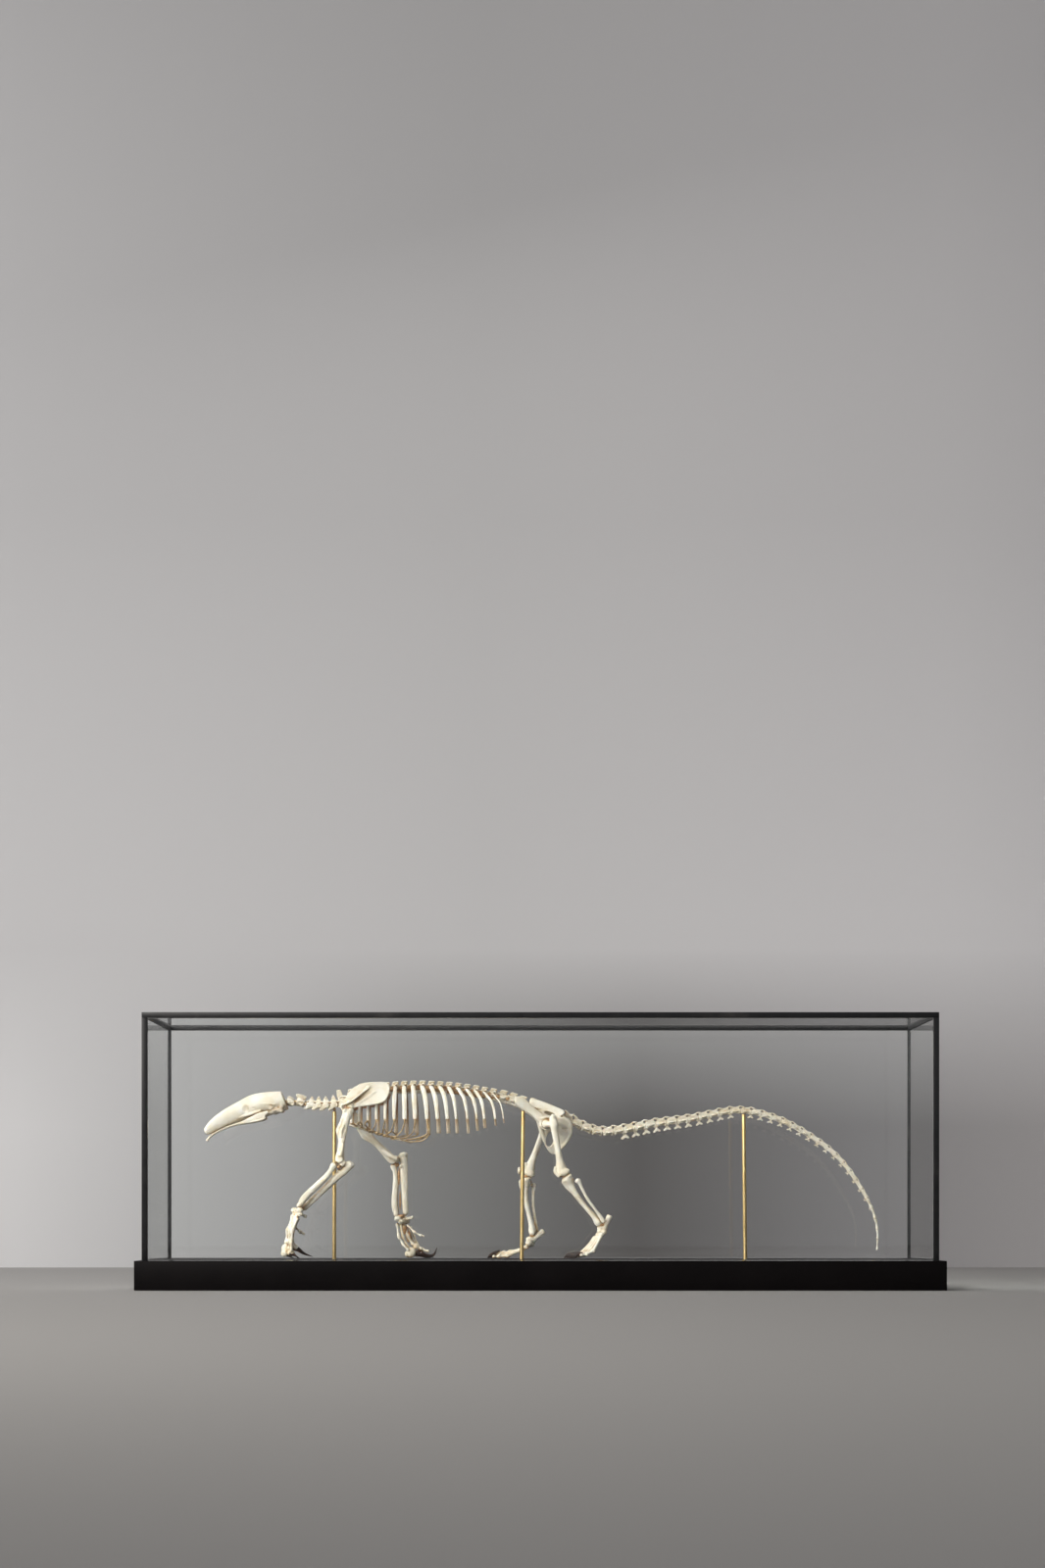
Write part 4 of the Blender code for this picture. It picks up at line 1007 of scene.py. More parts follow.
def build_hips(finishes, seats):
    shells = [spool(seat, 6.4, 6.0) for seat in seats]
    crest = [(-14.4, 277), (-13.6, 291.6), (-2, 287.2), (12, 281.8), (26, 276.0), (36.5, 271.2), (33, 264),
             (10, 268)]
    shells.append(plate(crest, 0, 3.4, steps=2))
    shells.append(limb([((-13, 0, 290.4), 2.4, 1.3), ((12, 0, 281.4), 2.6, 1.4),
                        ((36, 0, 271.0), 2.2, 1.4)], 4))
    shells.append(limb([((-17, 0, 277.4), 26, 3.2), ((-6, 0, 275), 24, 3.6), ((4, 0, 272.5), 22, 3.8),
                        ((20, 0, 268), 20, 3.8), ((34, 0, 263.4), 17.5, 3.6)], 3, 20))
    for number, seat in enumerate(seats):
        for side in (LEFT, RIGHT):
            shells.append(ball(seat.at(2, 9 * side, 6.4), (3.6, 2.2, 2.2)))
    for side in (LEFT, RIGHT):
        blade = [(-38.6, 290.0), (-34.6, 292.4), (-27.0, 288.0), (-14.0, 277.8), (2, 266.0), (8, 258.0),
                 (4, 250.4),
                 (-8, 260.0), (-20.0, 269.0), (-32.6, 279.0)]
        shells.append(plate(blade, 33.4 * side, 3.0, 0.18 * side, 285, 3))
        shells.append(limb([((-37.0, 34.6 * side, 286.4), 1.9, 5.6), ((-30, 34 * side, 284), 2.0, 8.6),
                            ((-20, 31.6 * side, 276), 2.6, 7.4), ((-8, 29 * side, 267), 3.8, 6.2),
                            ((6, 28 * side, 254.5), 5.2, 7.4)], 4, 14))
        shells.append(limb([((-34, 34.4 * side, 279.6), 1.6, 1.6), ((-14, 31.4 * side, 266.4), 1.9, 1.7),
                            ((0, 29.6 * side, 254.0), 2.4, 2.2)], 4))
        shells.append(limb([((4, 28 * side, 254), 4.8, 5.6), ((22, 25.4 * side, 253.4), 3.4, 4.8),
                            ((34, 22.6 * side, 252.4), 2.8, 5.6), ((42, 20.5 * side, 249), 2.6, 7.0)], 4))
        shells.append(plate(SEAT_BONE, 24 * side, 3.4, 0.46 * side, 251, 3))
        shells.append(limb([((34, 22 * side, 261), 2.4, 3.0), ((44.4, 23.4 * side, 252.6), 2.6, 3.4),
                            ((47.6, 19.0 * side, 240.0), 2.6, 2.8), ((44, 14.2 * side, 228.0), 2.4, 2.6),
                            ((33, 8.2 * side, 214.6), 2.2, 2.4), ((22, 2.5 * side, 206.4), 2.4, 2.6)], 4))
        shells.append(limb([((3, 27.5 * side, 254), 3.4, 5.6), ((2.2, 22.4 * side, 242), 2.6, 3.4),
                            ((7.0, 15 * side, 228), 2.4, 3.0), ((13.4, 8.2 * side, 215), 2.3, 2.8),
                            ((21, 2.4 * side, 206.6), 2.6, 3.0)], 4))
        shells.append(plate(SACRUM_ROOF, 17 * side, 4.4, -0.66 * side, 275, 3))
        shells.append(limb([((2, 33.5 * side, 258.4), 2.2, 2.2), ((11.5, 35.4 * side, 260.6), 2.2, 1.8),
                            ((19.6, 33.6 * side, 255.0), 2.2, 2.0)], 4))
        shells.append(ball((8.6, 31.6 * side, 250.4), (9.4, 4.6, 9.2)))
    cuts = []
    for (x, out, z), radii, degrees in HIP_OPENINGS:
        turn = Matrix.Rotation(math.radians(degrees), 3, "Y")
        cuts += both_sides(lambda side: ball((x, out * side, z), radii, turn))
    piece = fused("pelvis", shells, PELVIS_VOXEL, 2, cuts)
    dress(piece, finishes["bone"], ["hip_bone"])


def tail_half(number):
    """Half the height of the tail at a vertebra: full at the root, thin at the tip."""
    share = number / (TAIL_BONES - 1)
    return 6.9 * (1 - share) ** 0.72 + 1.4


# Side view of an arch, in half lengths along the bone and half heights above its middle
TAIL_ARCH = (
    (-0.97, -0.2), (-0.97, 0.36), (-0.80, 0.42), (-0.74, 0.56), (-0.82, 0.72), (-1.00, 0.78), (-1.04, 1.12),
    (-0.70, 1.08), (-0.25, 0.86), (0.25, 0.82), (0.66, 1.00), (0.96, 1.14), (0.96, 0.78), (0.80, 0.72),
    (0.74, 0.56), (0.80, 0.42), (0.95, 0.36), (0.95, -0.2),
)
# Side view of a chevron from its joint, drawn at one size and scaled from the first one's size down
CHEVRON_SIZE = 9.8
CHEVRON_DRAWN = 9.6
CHEVRON_FOOT = (
    (-4.6, 1.4), (-2.0, -2.8), (-2.4, -4.4), (-6.4, -7.4), (-6.0, -9.8), (-3.4, -9.6), (0.2, -7.6),
    (3.6, -9.4), (5.8, -9.0), (5.8, -6.8), (2.5, -4.2), (2.0, -2.8), (4.6, 1.4),
)


def tail_bone(seat, number):
    """A tail vertebra: a rimmed body, a humped arch that leaves a hole at each joint, and side wings."""
    tall = tail_half(number)
    half = seat.half
    low = -0.26 * tall
    if number < TAIL_ARCHES:
        shells = [spool(seat, 0.58 * tall, 0.50 * tall, 1.0, low - 0.04 * tall)]
        arch = [(along * half, up * tall) for along, up in TAIL_ARCH]
        shells.append(plate(seat.outline(arch), 0, 0.86 * tall, steps=2))
        for side in (LEFT, RIGHT):
            shells.append(limb([(seat.at(-0.4 * half, 0.46 * tall * side, 0.86 * tall), 0.18 * tall,
                                 0.13 * tall),
                                (seat.at(-1.2 * half, 0.54 * tall * side, 1.0 * tall), 0.18 * tall,
                                 0.15 * tall)],
                               2))
    else:
        shells = [spool(seat, 1.06 * tall, 0.68 * tall, 1.0, low * 0.3)]
    wing = 15 - 0.9 * number if number < TAIL_NODES["tail_middle"] else 0.95 * tall
    if number < TAIL_WINGS:
        for side in (LEFT, RIGHT):
            shells.append(limb([(seat.at(0.0, 0.2 * tall * side, low), 0.50 * half, 0.26 * tall),
                                (seat.at(0.3 * half, wing * side, low * 1.3), 0.36 * half, 0.08 * tall)], 2,
                               across=seat.tailward))
    for side in (LEFT, RIGHT):
        for end in (-1, 1):
            shells.append(ball(seat.at(end * half * 0.74, 0.34 * tall * side, low - 0.5 * tall),
                               (0.24 * half, 0.2 * tall, 0.2 * tall), segments=10, rings=7))
    return shells


def chevron(seat, number):
    """The forked bone under a joint: two legs above, and a foot that splays ahead and behind."""
    tall = tail_half(number)
    grade = CHEVRON_SIZE * (1 - (number - TAIL_CHEVRONS.start) / 34) ** 0.7 / CHEVRON_DRAWN
    joint = seat.half
    top = -0.72 * tall
    outline = [(joint + along * grade, top + up * grade) for along, up in CHEVRON_FOOT]
    shells = [plate(seat.outline(outline), 0, 2.2 * grade + 0.6, steps=1)]
    for side in (LEFT, RIGHT):
        shells.append(limb([(seat.at(joint, 2.6 * grade * side, top + 1.4 * grade), 1.3 * grade,
                             1.1 * grade),
                            (seat.at(joint, 0.5 * grade * side, top - 3.6 * grade), 1.3 * grade,
                             1.1 * grade)], 2))
    return shells


def build_tail(finishes, seats):
    for number, seat in enumerate(seats):
        share = tail_half(number) / tail_half(0)
        piece = fused(f"tail_vertebra_{number + 1:02d}", tail_bone(seat, number),
                      max(TAIL_VOXEL * share ** 0.5, FINEST), 2, swell=0.1 * share, relief=0.25 * share)
        node = [name for name, first in TAIL_NODES.items() if first <= number][-1]
        dress(piece, finishes["tail"], [node])
    shells = []
    for number in TAIL_CHEVRONS:
        over_rod = abs(seats[number].back.x - RODS["rod_tail"][1]) < seats[number].half
        if not over_rod:
            shells += chevron(seats[number], number)
    piece = fused("chevrons", shells, CHEVRON_VOXEL, 1, swell=0.1)
    dress(piece, finishes["tail"])


# Limbs

# Each long bone's length in its own frame
LENGTHS = {"humerus": 87, "radius": 77, "ulna": 97, "femur": 82, "tibia": 86, "fibula": 76}


def limb_matrix(top, bottom, side, length):
    """From a bone's own frame (headward, outward, up from its upper end) to its place, stretched to fit."""
    up = Vector(top) - Vector(bottom)
    stretch = up.length / length
    up.normalize()
    ahead = (HEADWARD - up * HEADWARD.dot(up)).normalized()
    out = up.cross(ahead)
    if out.y * side < 0:
        out = -out
    turn = Matrix((ahead, out, up * stretch)).transposed().to_4x4()
    return Matrix.Translation(Vector(top) * MM) @ turn


def humerus():
    """Upper arm: a round head, two knobs, a shield-like crest down the front, and a broad lower end."""
    return [
        limb([((-1, 0, 0), 5.4, 5.4), ((0, 0, -8), 6.4, 7.0), ((1, 0, -18), 5.0, 5.6),
              ((1.5, 0, -34), 4.8, 5.6),
              ((1.2, 0, -50), 4.4, 4.8), ((0, -0.5, -66), 5.8, 5.2), ((-0.6, -1, -76), 7.2, 6.6),
              ((-0.8, -1, -84), 6.0, 6.4)], 4, 14),
        ball((-2.4, -1.0, 0.5), (6.0, 6.2, 5.6)),
        ball((4.2, 3.0, -3.0), (4.2, 4.0, 5.2)),
        ball((2.6, -5.0, -4.5), (3.2, 3.2, 4.2)),
        # The crest, ending in the hook that stands out ahead of the shaft
        limb([((4.6, 3.2, -6), 2.0, 2.6), ((6.2, 3.0, -18), 1.6, 2.6), ((8.0, 3.0, -29), 2.2, 3.2),
              ((9.0, 3.0, -35.5), 3.0, 3.6), ((6.2, 2.0, -43), 2.0, 3.0), ((3.0, 0.5, -52), 2, 2.4)], 4),
        limb([((2.0, 5.0, -27), 1.4, 1.6), ((4.0, 5.8, -36), 1.8, 2.0), ((2.6, 4.6, -46), 1.4, 1.6)], 4),
        # The flange up the outer side, the inner knob, and the two rollers
        limb([((-1.5, 4.0, -56), 1.2, 1.8), ((-2.5, 9.4, -68), 1.6, 2.2), ((-1.5, 11.0, -78), 2.6, 3.0)],
             4),
        limb([((-1, -6.0, -66), 1.6, 2.2), ((-4, -12.0, -77), 2.6, 3.2), ((-8, -13.6, -86), 2.8, 3.4)], 4),
        limb([((-1.5, -9, -83.0), 5.4, 5.6), ((-2.0, -3, -83.6), 4.6, 4.8), ((-2.0, 3, -83.6), 4.6, 4.8),
              ((-1.5, 9, -83.0), 5.4, 5.4)], 4, 16, across=UPWARD, dome=0.15),
        limb([((-6.4, -6, -86.6), 5.0, 4.4), ((-6.4, 6, -86.6), 5.0, 4.4)], 2, 14, across=UPWARD, dome=0.2),
    ]


def radius():
    """The front bone of the forearm, bowed and widest near the wrist."""
    return [
        limb([((0, 0, 0), 5.0, 5.2), ((-0.6, 0, -3.4), 4.6, 4.8), ((-1.8, 0, -9), 3.4, 3.7),
              ((-2.2, 0, -20), 3.4, 4.2),
              ((-0.6, 0, -36), 3.6, 4.5), ((1.2, 0, -50), 4.0, 4.6), ((1.6, 0, -61), 4.6, 4.6),
              ((0.6, 0, -72), 5.2, 4.3), ((0, 0, -77), 4.8, 4.0)], 4, 14),
        limb([((3.6, 1.6, -42), 1.0, 1.2), ((5.8, 2.6, -58), 1.2, 1.5), ((4.6, 2.8, -71), 1.4, 1.6)], 4),
    ]


def ulna():
    """The rear bone of the forearm, with the point of the elbow at its top."""
    return [
        limb([((-0.4, 0, -1.4), 4.6, 6.0), ((-0.2, 0, -7), 5.0, 6.8), ((-1.2, 0, -14), 4.4, 5.6),
              ((-0.6, 0, -22), 4.2, 5.4), ((0, 0, -36), 3.6, 5.1), ((0, 0, -60), 3.2, 4.6),
              ((0, 0, -84), 3.3, 4.5),
              ((0, 0, -95), 3.3, 4.3)], 4, 14),
        ball((-2.2, -1.4, -2.2), (5.4, 4.8, 4.2)),
        ball((4.2, 0.5, -6.0), (3.4, 4.6, 4.0)),
        ball((3.4, -1.0, -20.6), (3.4, 4.8, 3.0)),
        limb([((-4.6, -2.0, -6), 1.4, 1.6), ((-4.6, -1.6, -30), 1.2, 1.4), ((-3.6, -1.0, -60), 1.0, 1.2)],
             4),
        ball((0.4, 1.0, -96.4), (2.4, 2.2, 2.8)),
    ]


def femur(back):
    """Thigh bone: its shaft starts as far behind the ball of the joint as is given."""
    return [
        limb([((-back, 12.2, 5.5), 3.4, 4.2), ((-0.98 * back, 12.6, -3), 4.8, 6.2),
              ((-0.8 * back, 10.8, -14), 6.0, 5.2),
              ((-0.6 * back, 9, -28), 5.6, 4.6), ((-0.38 * back, 7, -44), 5.4, 4.6),
              ((-0.18 * back, 4.6, -58), 5.8, 5.4),
              ((-0.05 * back, 3, -68), 8.0, 7.8), ((0.2, 2, -76), 9.0, 9.4)], 4, 16),
        ball((0, 0, 0), (6.2, 6.2, 6.2)),
        limb([((0, 2, -0.5), 4.0, 4.4), ((-0.5 * back, 8, -3.0), 4.4, 5.4),
              ((-0.9 * back, 12, -6), 4.0, 5.4)], 4, 14,
             across=UPWARD),
        ball((-1.6 - back, 13.2, 4.6), (4.8, 3.6, 4.8)),
        ball((-4.0 - 0.8 * back, 5.4, -12.0), (2.6, 2.6, 3.4)),
        # The crest down the outer side, the two rollers and the groove for the kneecap
        limb([((-1 - 0.9 * back, 14.6, -8), 1.6, 2.0), ((-0.6 * back, 13.6, -24), 1.6, 2.2),
              ((-0.4 * back, 11.6, -38), 1.4, 1.8)], 4),
        ball((-3.0, 7.4, -77.6), (8.4, 4.6, 6.0)), ball((-3.0, -3.6, -77.6), (8.4, 4.6, 6.0)),
        limb([((7.6, 6.0, -66), 1.6, 2.0), ((9.2, 6.0, -74), 1.8, 2.2), ((6.4, 6.4, -81), 2.2, 2.2)], 4),
        limb([((7.6, -2.2, -66), 1.6, 2.0), ((9.2, -2.2, -74), 1.8, 2.2), ((6.4, -2.6, -81), 2.2, 2.2)], 4),
    ]


def tibia():
    """The shin bone: a broad top with a crest ahead of it."""
    return [
        limb([((0.4, 0, -2.2), 9.4, 8.6), ((0.6, 0, -6), 8.4, 8.2), ((2.2, 0, -14), 5.2, 6.2),
              ((3.2, 0, -26), 4.0, 4.2),
              ((3.0, 0, -42), 3.4, 3.6), ((1.6, 0, -58), 3.4, 3.4), ((0, 0, -72), 4.2, 4.2),
              ((0, 0, -81), 5.8, 5.8),
              ((0, 0, -85), 5.2, 5.4)], 4, 16),
        ball((-2.4, 4.8, -0.8), (6.8, 4.6, 2.4)), ball((-2.4, -4.8, -0.8), (6.8, 4.6, 2.4)),
        limb([((8.0, -0.5, -3.0), 3.4, 2.6), ((7.4, -0.5, -12), 1.6, 3.0), ((5.2, -0.8, -26), 1.2, 2.4),
              ((3.6, -1, -40), 1, 1.6)], 4),
        ball((0.4, -5.6, -85.0), (3.6, 2.0, 3.4)),
    ]


def fibula():
    """The thin bone beside the shin."""
    return [
        limb([((0, 0, -1), 2.8, 4.0), ((0, 0, -6), 2.1, 2.9), ((1.4, 0, -16), 1.6, 2.3),
              ((2.4, 0, -34), 1.5, 2.1),
              ((0.6, 0, -58), 1.6, 2.3), ((0, 0, -70), 2.2, 3.0), ((0, 0, -75), 2.4, 3.0)], 4),
        ball((0.4, 0, -2.0), (4.6, 3.0, 3.4)),
    ]


def build_shoulder_blade(finishes, side, word):
    outline = [
        (-290, 274.4), (-297.5, 281.5), (-294.4, 290), (-290.6, 297), (-284.6, 304.4), (-275, 309.4),
        (-264.7, 311.8), (-250, 312.8), (-236.7, 312.6), (-230.4, 307), (-229.8, 299), (-233.2, 289.6),
        (-239.2, 283.4), (-258, 279), (-276, 277), (-284, 274.4),
    ]
    root = 48
    lean = -0.45
    blade = plate(outline, root * side, 1.9, lean * side, 275, 3)

    def on_blade(x, z, lift):
        return (x, (root + lean * (z - 275) + lift) * side, z)

    shells = [
        blade,
        # The ridge on the outer face, its prong over the joint, and the fold below it
        limb([(on_blade(-258.6, 305.4, 1.2), 1.6, 1.5), (on_blade(-264, 301.6, 2.8), 2.4, 1.5),
              (on_blade(-272, 295.2, 4.4), 3.4, 1.3), (on_blade(-280, 288.4, 5.8), 3.8, 1.3),
              (on_blade(-289, 282.4, 7.0), 3.0, 1.5), (on_blade(-299.5, 278.2, 6.4), 2.0, 1.8)], 4, 12,
              across=OUTWARD),
        limb([(on_blade(-250, 298.4, 0.4), 1.4, 2.6), (on_blade(-264, 288.6, 1.0), 1.6, 2.8),
              (on_blade(-279, 280.0, 1.4), 1.6, 2.4)], 4),
        ball(on_blade(-260.0, 306.2, 1.8), (3.4, 1.8, 2.0)),
        limb([(on_blade(-296, 279.6, 5.0), 1.6, 2.6), (on_blade(-300.5, 277.0, 4.0), 1.6, 2.8),
              (on_blade(-299.0, 272.0, 1.5), 1.4, 2.0)], 4),
        # Thick edges
        limb([(on_blade(x, z, 0), 1.7, 1.4) for x, z in outline[5:13]], 3),
        limb([(on_blade(x, z, 0), 1.6, 1.3) for x, z in outline[11:16]], 3),
        limb([(on_blade(-286.6, 284, 0), 3.0, 6.0), (on_blade(-287.4, 278.6, 0), 4.2, 6.4),
              (on_blade(-288.2, 275.4, 0), 4.6, 6.2)], 3, 14),
        # The beak ahead of the joint and the collar bone's remains
        limb([(on_blade(-291, 281, -1.0), 2.2, 2.2), (on_blade(-299, 285, -4.0), 1.6, 1.8),
              (on_blade(-305.5, 286.6, -8.0), 1.3, 1.4)], 4),
        limb([(on_blade(-294, 292, -1.5), 1.4, 1.6), (on_blade(-301, 292.0, -5.0), 1.2, 1.3),
              (on_blade(-306.4, 288.4, -8.0), 1.2, 1.2)], 4),
    ]
    cuts = [ball((-289.6, 48.6 * side, 268.8), (7.4, 6.6, 6.0))]
    piece = fused(f"scapula_{word}", shells, FINE, 2, cuts)
    # The right shoulder blade takes the rib finish, so its face turned into the chest carries painted shade
    dress(piece, finishes["bone" if side == LEFT else "rib"], [f"shoulder_blade_{word}"])


CLAW_THINNESS = 0.62


def claw(course, root_half, sides=14):
    """A curved claw, taller than it is thick, that narrows to its tip."""
    line = smooth_line(course, 6)
    stations = []
    for number, place in enumerate(line):
        half = root_half * (1 - 0.93 * (number / (len(line) - 1)) ** 1.25)
        stations.append((place, CLAW_THINNESS * half, half))
    return tube(stations, sides)


def ray(places, halves, waist):
    """A finger or toe: small dumbbell bones end to end, with a hair of room at each joint."""
    shells = []
    for start, end, first, second in zip(places, places[1:], halves, halves[1:]):
        slack = (end - start).normalized() * 0.35
        shells.append(dumbbell(start + slack, end - slack, first, second, waist))
    return shells


def build_hand(finishes, side, word, marks):
    """A hand from its marks in side view, as (x, z): the outer fingers lie nearer the viewer on the left."""
    out = marks["out"]

    def at(place, shift=0.0):
        return Vector((place[0], (out + shift) * side, place[1]))

    wrist = at(marks["wrist"])
    tops = [ray_marks["line"][0] for ray_marks in marks["rays"]]
    down = (at(tops[len(tops) // 2]) - wrist).normalized()
    shells = []
    for row, (drop, count, size) in enumerate(((-2.6, 3, 4.7), (3.0, 5, 3.9))):
        for number in range(count):
            share = (number - (count - 1) / 2) / (count - 1)
            place = wrist + down * (drop + 0.8 * (number % 2)) + OUTWARD * (20 * share * side)
            place += TAILWARD * (9 * share + 0.8 * ((number + row) % 2))
            shells.append(ball(place, (size * 1.15, size * 0.95, size * 0.95), segments=12, rings=8))
    peg = at(marks["peg"], -3)
    shells.append(limb([(wrist.lerp(peg, 0.3), 2.4, 2.4), (wrist.lerp(peg, 0.7), 1.8, 1.9),
                        (peg, 2.6, 2.6)], 3, 12))
    for finger in marks["rays"]:
        line = [at(place, finger["shift"] * (0.6 + 0.4 * min(step, 1)))
                for step, place in enumerate(finger["line"])]
        size = finger["size"]
        shells += ray(line, [size * grow for grow in (1.0, 1.0, 0.95, 0.9, 0.85, 0.8)], 0.6)
        for place in line[1:-1]:
            shells.append(ball(place, (size * 0.95, size * 1.05, size * 0.95), segments=12, rings=8))
    for place, shift, radii in marks["pads"]:
        shells.append(ball(at(place, shift), radii))
    piece = fused(f"hand_bones_{word}", shells, FINE, 1, relief=0.7)
    dress(piece, finishes["hand"], [f"hand_{word}"])
    big = claw([at(place) for place in marks["great_claw"]], 4.6, 18)
    piece = add_object(f"great_claw_{word}", joined_mesh("great_claw", [big]))
    dress(piece, finishes["horn"], [f"hand_{word}_claw"])
    small = [claw([at(place, shift) for place in line], size) for line, shift, size in marks["claws"]]
    piece = add_object(f"finger_claws_{word}", joined_mesh("finger_claws", small))
    dress(piece, finishes["horn"])


def build_foot(finishes, side, word, marks):
    """A foot from its marks in side view, as (x, z), and its distance out."""
    out = marks["out"]

    def at(mark, shift=0.0):
        x, z = marks[mark]
        return Vector((x, (out + shift) * side, z))

    heel, ankle, tarsus, instep = at("heel"), at("ankle"), at("tarsus"), at("instep")
    shells = [
        limb([(heel, 3.8, 4.3), (heel.lerp(ankle, 0.12), 4.0, 4.5), (heel.lerp(ankle, 0.55), 3.4, 4.0),
              (ankle, 4.8, 5.2)], 4, 14, dome=0.25),
        ball(ankle + Vector((-3.5, -1.5 * side, 1.5)), (6.4, 5.4, 5.0)),
        ball(ankle.lerp(tarsus, 0.5) + Vector((-2, -1.5 * side, 0)), (5.6, 5.4, 4.8)),
        ball(ankle.lerp(tarsus, 0.6) + Vector((3.2, 3 * side, -0.6)), (4.6, 4.4, 4.6)),
    ]
    across = marks["fan"]
    for number in range(4):
        share = (number - 1.5) / 3
        place = tarsus.lerp(instep, 0.3 + 0.12 * (number % 2)) + OUTWARD * (13 * share * side)
        shells.append(ball(place + Vector(across) * (0.8 * share), (3.7, 2.9, 3.4), segments=12, rings=8))
    horns = []
    for number in range(-2, 3):
        share = number / 2
        shift = Vector(across) * share
        size = 3.7 - 0.35 * abs(number)
        root = at("instep", 9 * share) + shift * 0.6
        knuckle = at("ball", 13 * share) + shift + Vector((0, 0, 0.8 * (2 - abs(number))))
        toe, tip = at("toe", 14 * share) + shift, at("claw", 15 * share) + shift
        shells += ray([root, knuckle], [size, size * 1.1], 0.7)
        shells += ray([knuckle, toe, tip], [size * 1.05, size * 0.95, size * 0.85], 0.72)
        for place, grow in ((knuckle, 1.25), (toe, 1.15), (tip, 1.05)):
            shells.append(ball(place, (size * grow, size * 1.1, size * grow), segments=12, rings=8))
        end = at("claw_tip", 16 * share) + shift
        end.z = PLINTH_HEIGHT + 1.6
        arch = tip.lerp(end, 0.45) + Vector((0, 0, 3.2))
        horns.append(claw([toe.lerp(tip, 0.8), arch, end], size * 1.45))
    piece = fused(f"foot_bones_{word}", shells, FINE, 1, relief=0.7)
    dress(piece, finishes["hand"], [f"foot_{word}"])
    piece = add_object(f"toe_claws_{word}", joined_mesh("toe_claws", horns))
    dress(piece, finishes["horn"])


# The two ends of each long bone's middle line
ARMS = {
    "left": {
        "side": LEFT,
        "humerus": ((-290.5, -49, 270), (-304, -76, 189.5)),
        "radius": ((-310, -79, 187.2), (-364, -66.5, 124.8)),
        "ulna": ((-284.8, -75, 190), (-358.6, -56.5, 120.5)),
    },
    "right": {
        "side": RIGHT,
        "humerus": ((-291.6, 49, 268.8), (-226, 57, 193.6)),
        "radius": ((-225.8, 58, 188), (-221, 56, 111.5)),
        "ulna": ((-211.6, 55, 207), (-207, 51, 113)),
    },
}
LEGS = {
    "left": {
        "side": LEFT, "shaft_back": 11,
        "femur": ((9.5, -36.5, 250), (35.5, -44, 171)),
        "tibia": ((40, -45, 168.8), (90.5, -44, 97.5)),
        "fibula": ((56.5, -54, 165.5), (96.8, -51, 101)),
        "kneecap": (23.2, -45, 179),
    },
    "right": {
        "side": RIGHT, "shaft_back": 0,
        "femur": ((9.5, 36.5, 250), (-19.5, 44, 173.5)),
        "tibia": ((-22.3, 45, 168), (-10.8, 44, 83)),
        "fibula": ((-9.5, 54, 160), (-4.6, 52, 85)),
        "kneecap": (-31.6, 45, 180.5),
    },
}
# Hands and feet in side view, as (x, z), with the distance out
HANDS = {
    "left": {
        "out": 63, "wrist": (-367, 116), "peg": (-354, 109.4),
        "rays": [
            {"shift": 2, "size": 4.6, "line": ((-372, 110), (-380, 88), (-382, 71), (-381, 60))},
            {"shift": 8, "size": 3.9, "line": ((-368, 108.5), (-376.4, 90), (-378, 72), (-377, 61))},
            {"shift": -6, "size": 3.8, "line": ((-367, 107), (-373.6, 91), (-375.4, 75), (-371, 64))},
            {"shift": -12, "size": 2.4, "line": ((-365.5, 106), (-371, 93.6), (-363.4, 86.4),
                                                 (-357.0, 82.8))},
            {"shift": 13, "size": 3.0, "line": ((-366.6, 106), (-373.4, 88), (-375, 70), (-375, 58))},
        ],
        "pads": [
            ((-382.6, 60.4), 1, (8.2, 6.4, 8.4)), ((-376.5, 65), 0, (6.4, 5.6, 6.4)),
            ((-385.5, 54), 6, (5.6, 4.6, 5.6)), ((-375.5, 54.6), 8, (5.6, 4.4, 5.0)),
            ((-369.6, 63.4), 0, (4.6, 3.8, 4.6)), ((-362.6, 86), -12, (2.9, 2.4, 2.7)),
        ],
        "great_claw": ((-374, 62.6), (-366, 60), (-356.5, 53.6), (-343.2, 48.6)),
        "claws": [
            (((-386, 53), (-380, 50.4), (-369.5, 45.8)), 7, 3.4),
            (((-378, 53.4), (-370, 51), (-361.8, 45.8)), 11, 3.0),
            (((-377, 54), (-372, 52), (-366, 46.2)), -8, 3.0),
        ],
    },
    "right": {
        "out": 54, "wrist": (-212.6, 104), "peg": (-196.4, 108),
        "rays": [
            {"shift": -10, "size": 2.5, "line": ((-220.2, 98), (-217.6, 78), (-210.6, 66), (-203, 58))},
            {"shift": -5, "size": 2.6, "line": ((-215, 97), (-211.4, 78), (-205, 65), (-197.5, 57))},
            {"shift": 0, "size": 3.0, "line": ((-209.6, 97), (-204, 78), (-196, 66.6), (-183.4, 60),
                                               (-172, 55.4))},
            {"shift": 6, "size": 2.4, "line": ((-204.4, 95.5), (-199.6, 80), (-192.4, 67), (-181, 54))},
            {"shift": 12, "size": 2.2, "line": ((-200, 93), (-194.6, 80), (-190, 68), (-186, 55))},
            {"shift": -14, "size": 1.9, "line": ((-204, 96), (-193.4, 85.4), (-184, 80.4), (-178.4, 79))},
        ],
        "pads": [
            ((-198.6, 54), -3, (7.4, 6.0, 8.2)), ((-203.4, 51.4), 3, (5.0, 4.6, 5.6)),
            ((-191, 63.6), 0, (5.2, 4.2, 4.6)), ((-189.5, 52), 4, (5.2, 4.4, 5.0)),
            ((-193, 85.2), -14, (2.6, 2.2, 2.3)), ((-183.4, 80.2), -14, (2.6, 2.2, 2.2)),
        ],
        "great_claw": ((-190, 54), (-176, 48.8), (-164.4, 50), (-158.4, 61.6)),
        "claws": [
            (((-190, 51), (-182, 49), (-173.6, 45.8)), 8, 3.2),
            (((-184, 53), (-174, 50), (-163.6, 45.8)), -8, 3.2),
        ],
    },
}
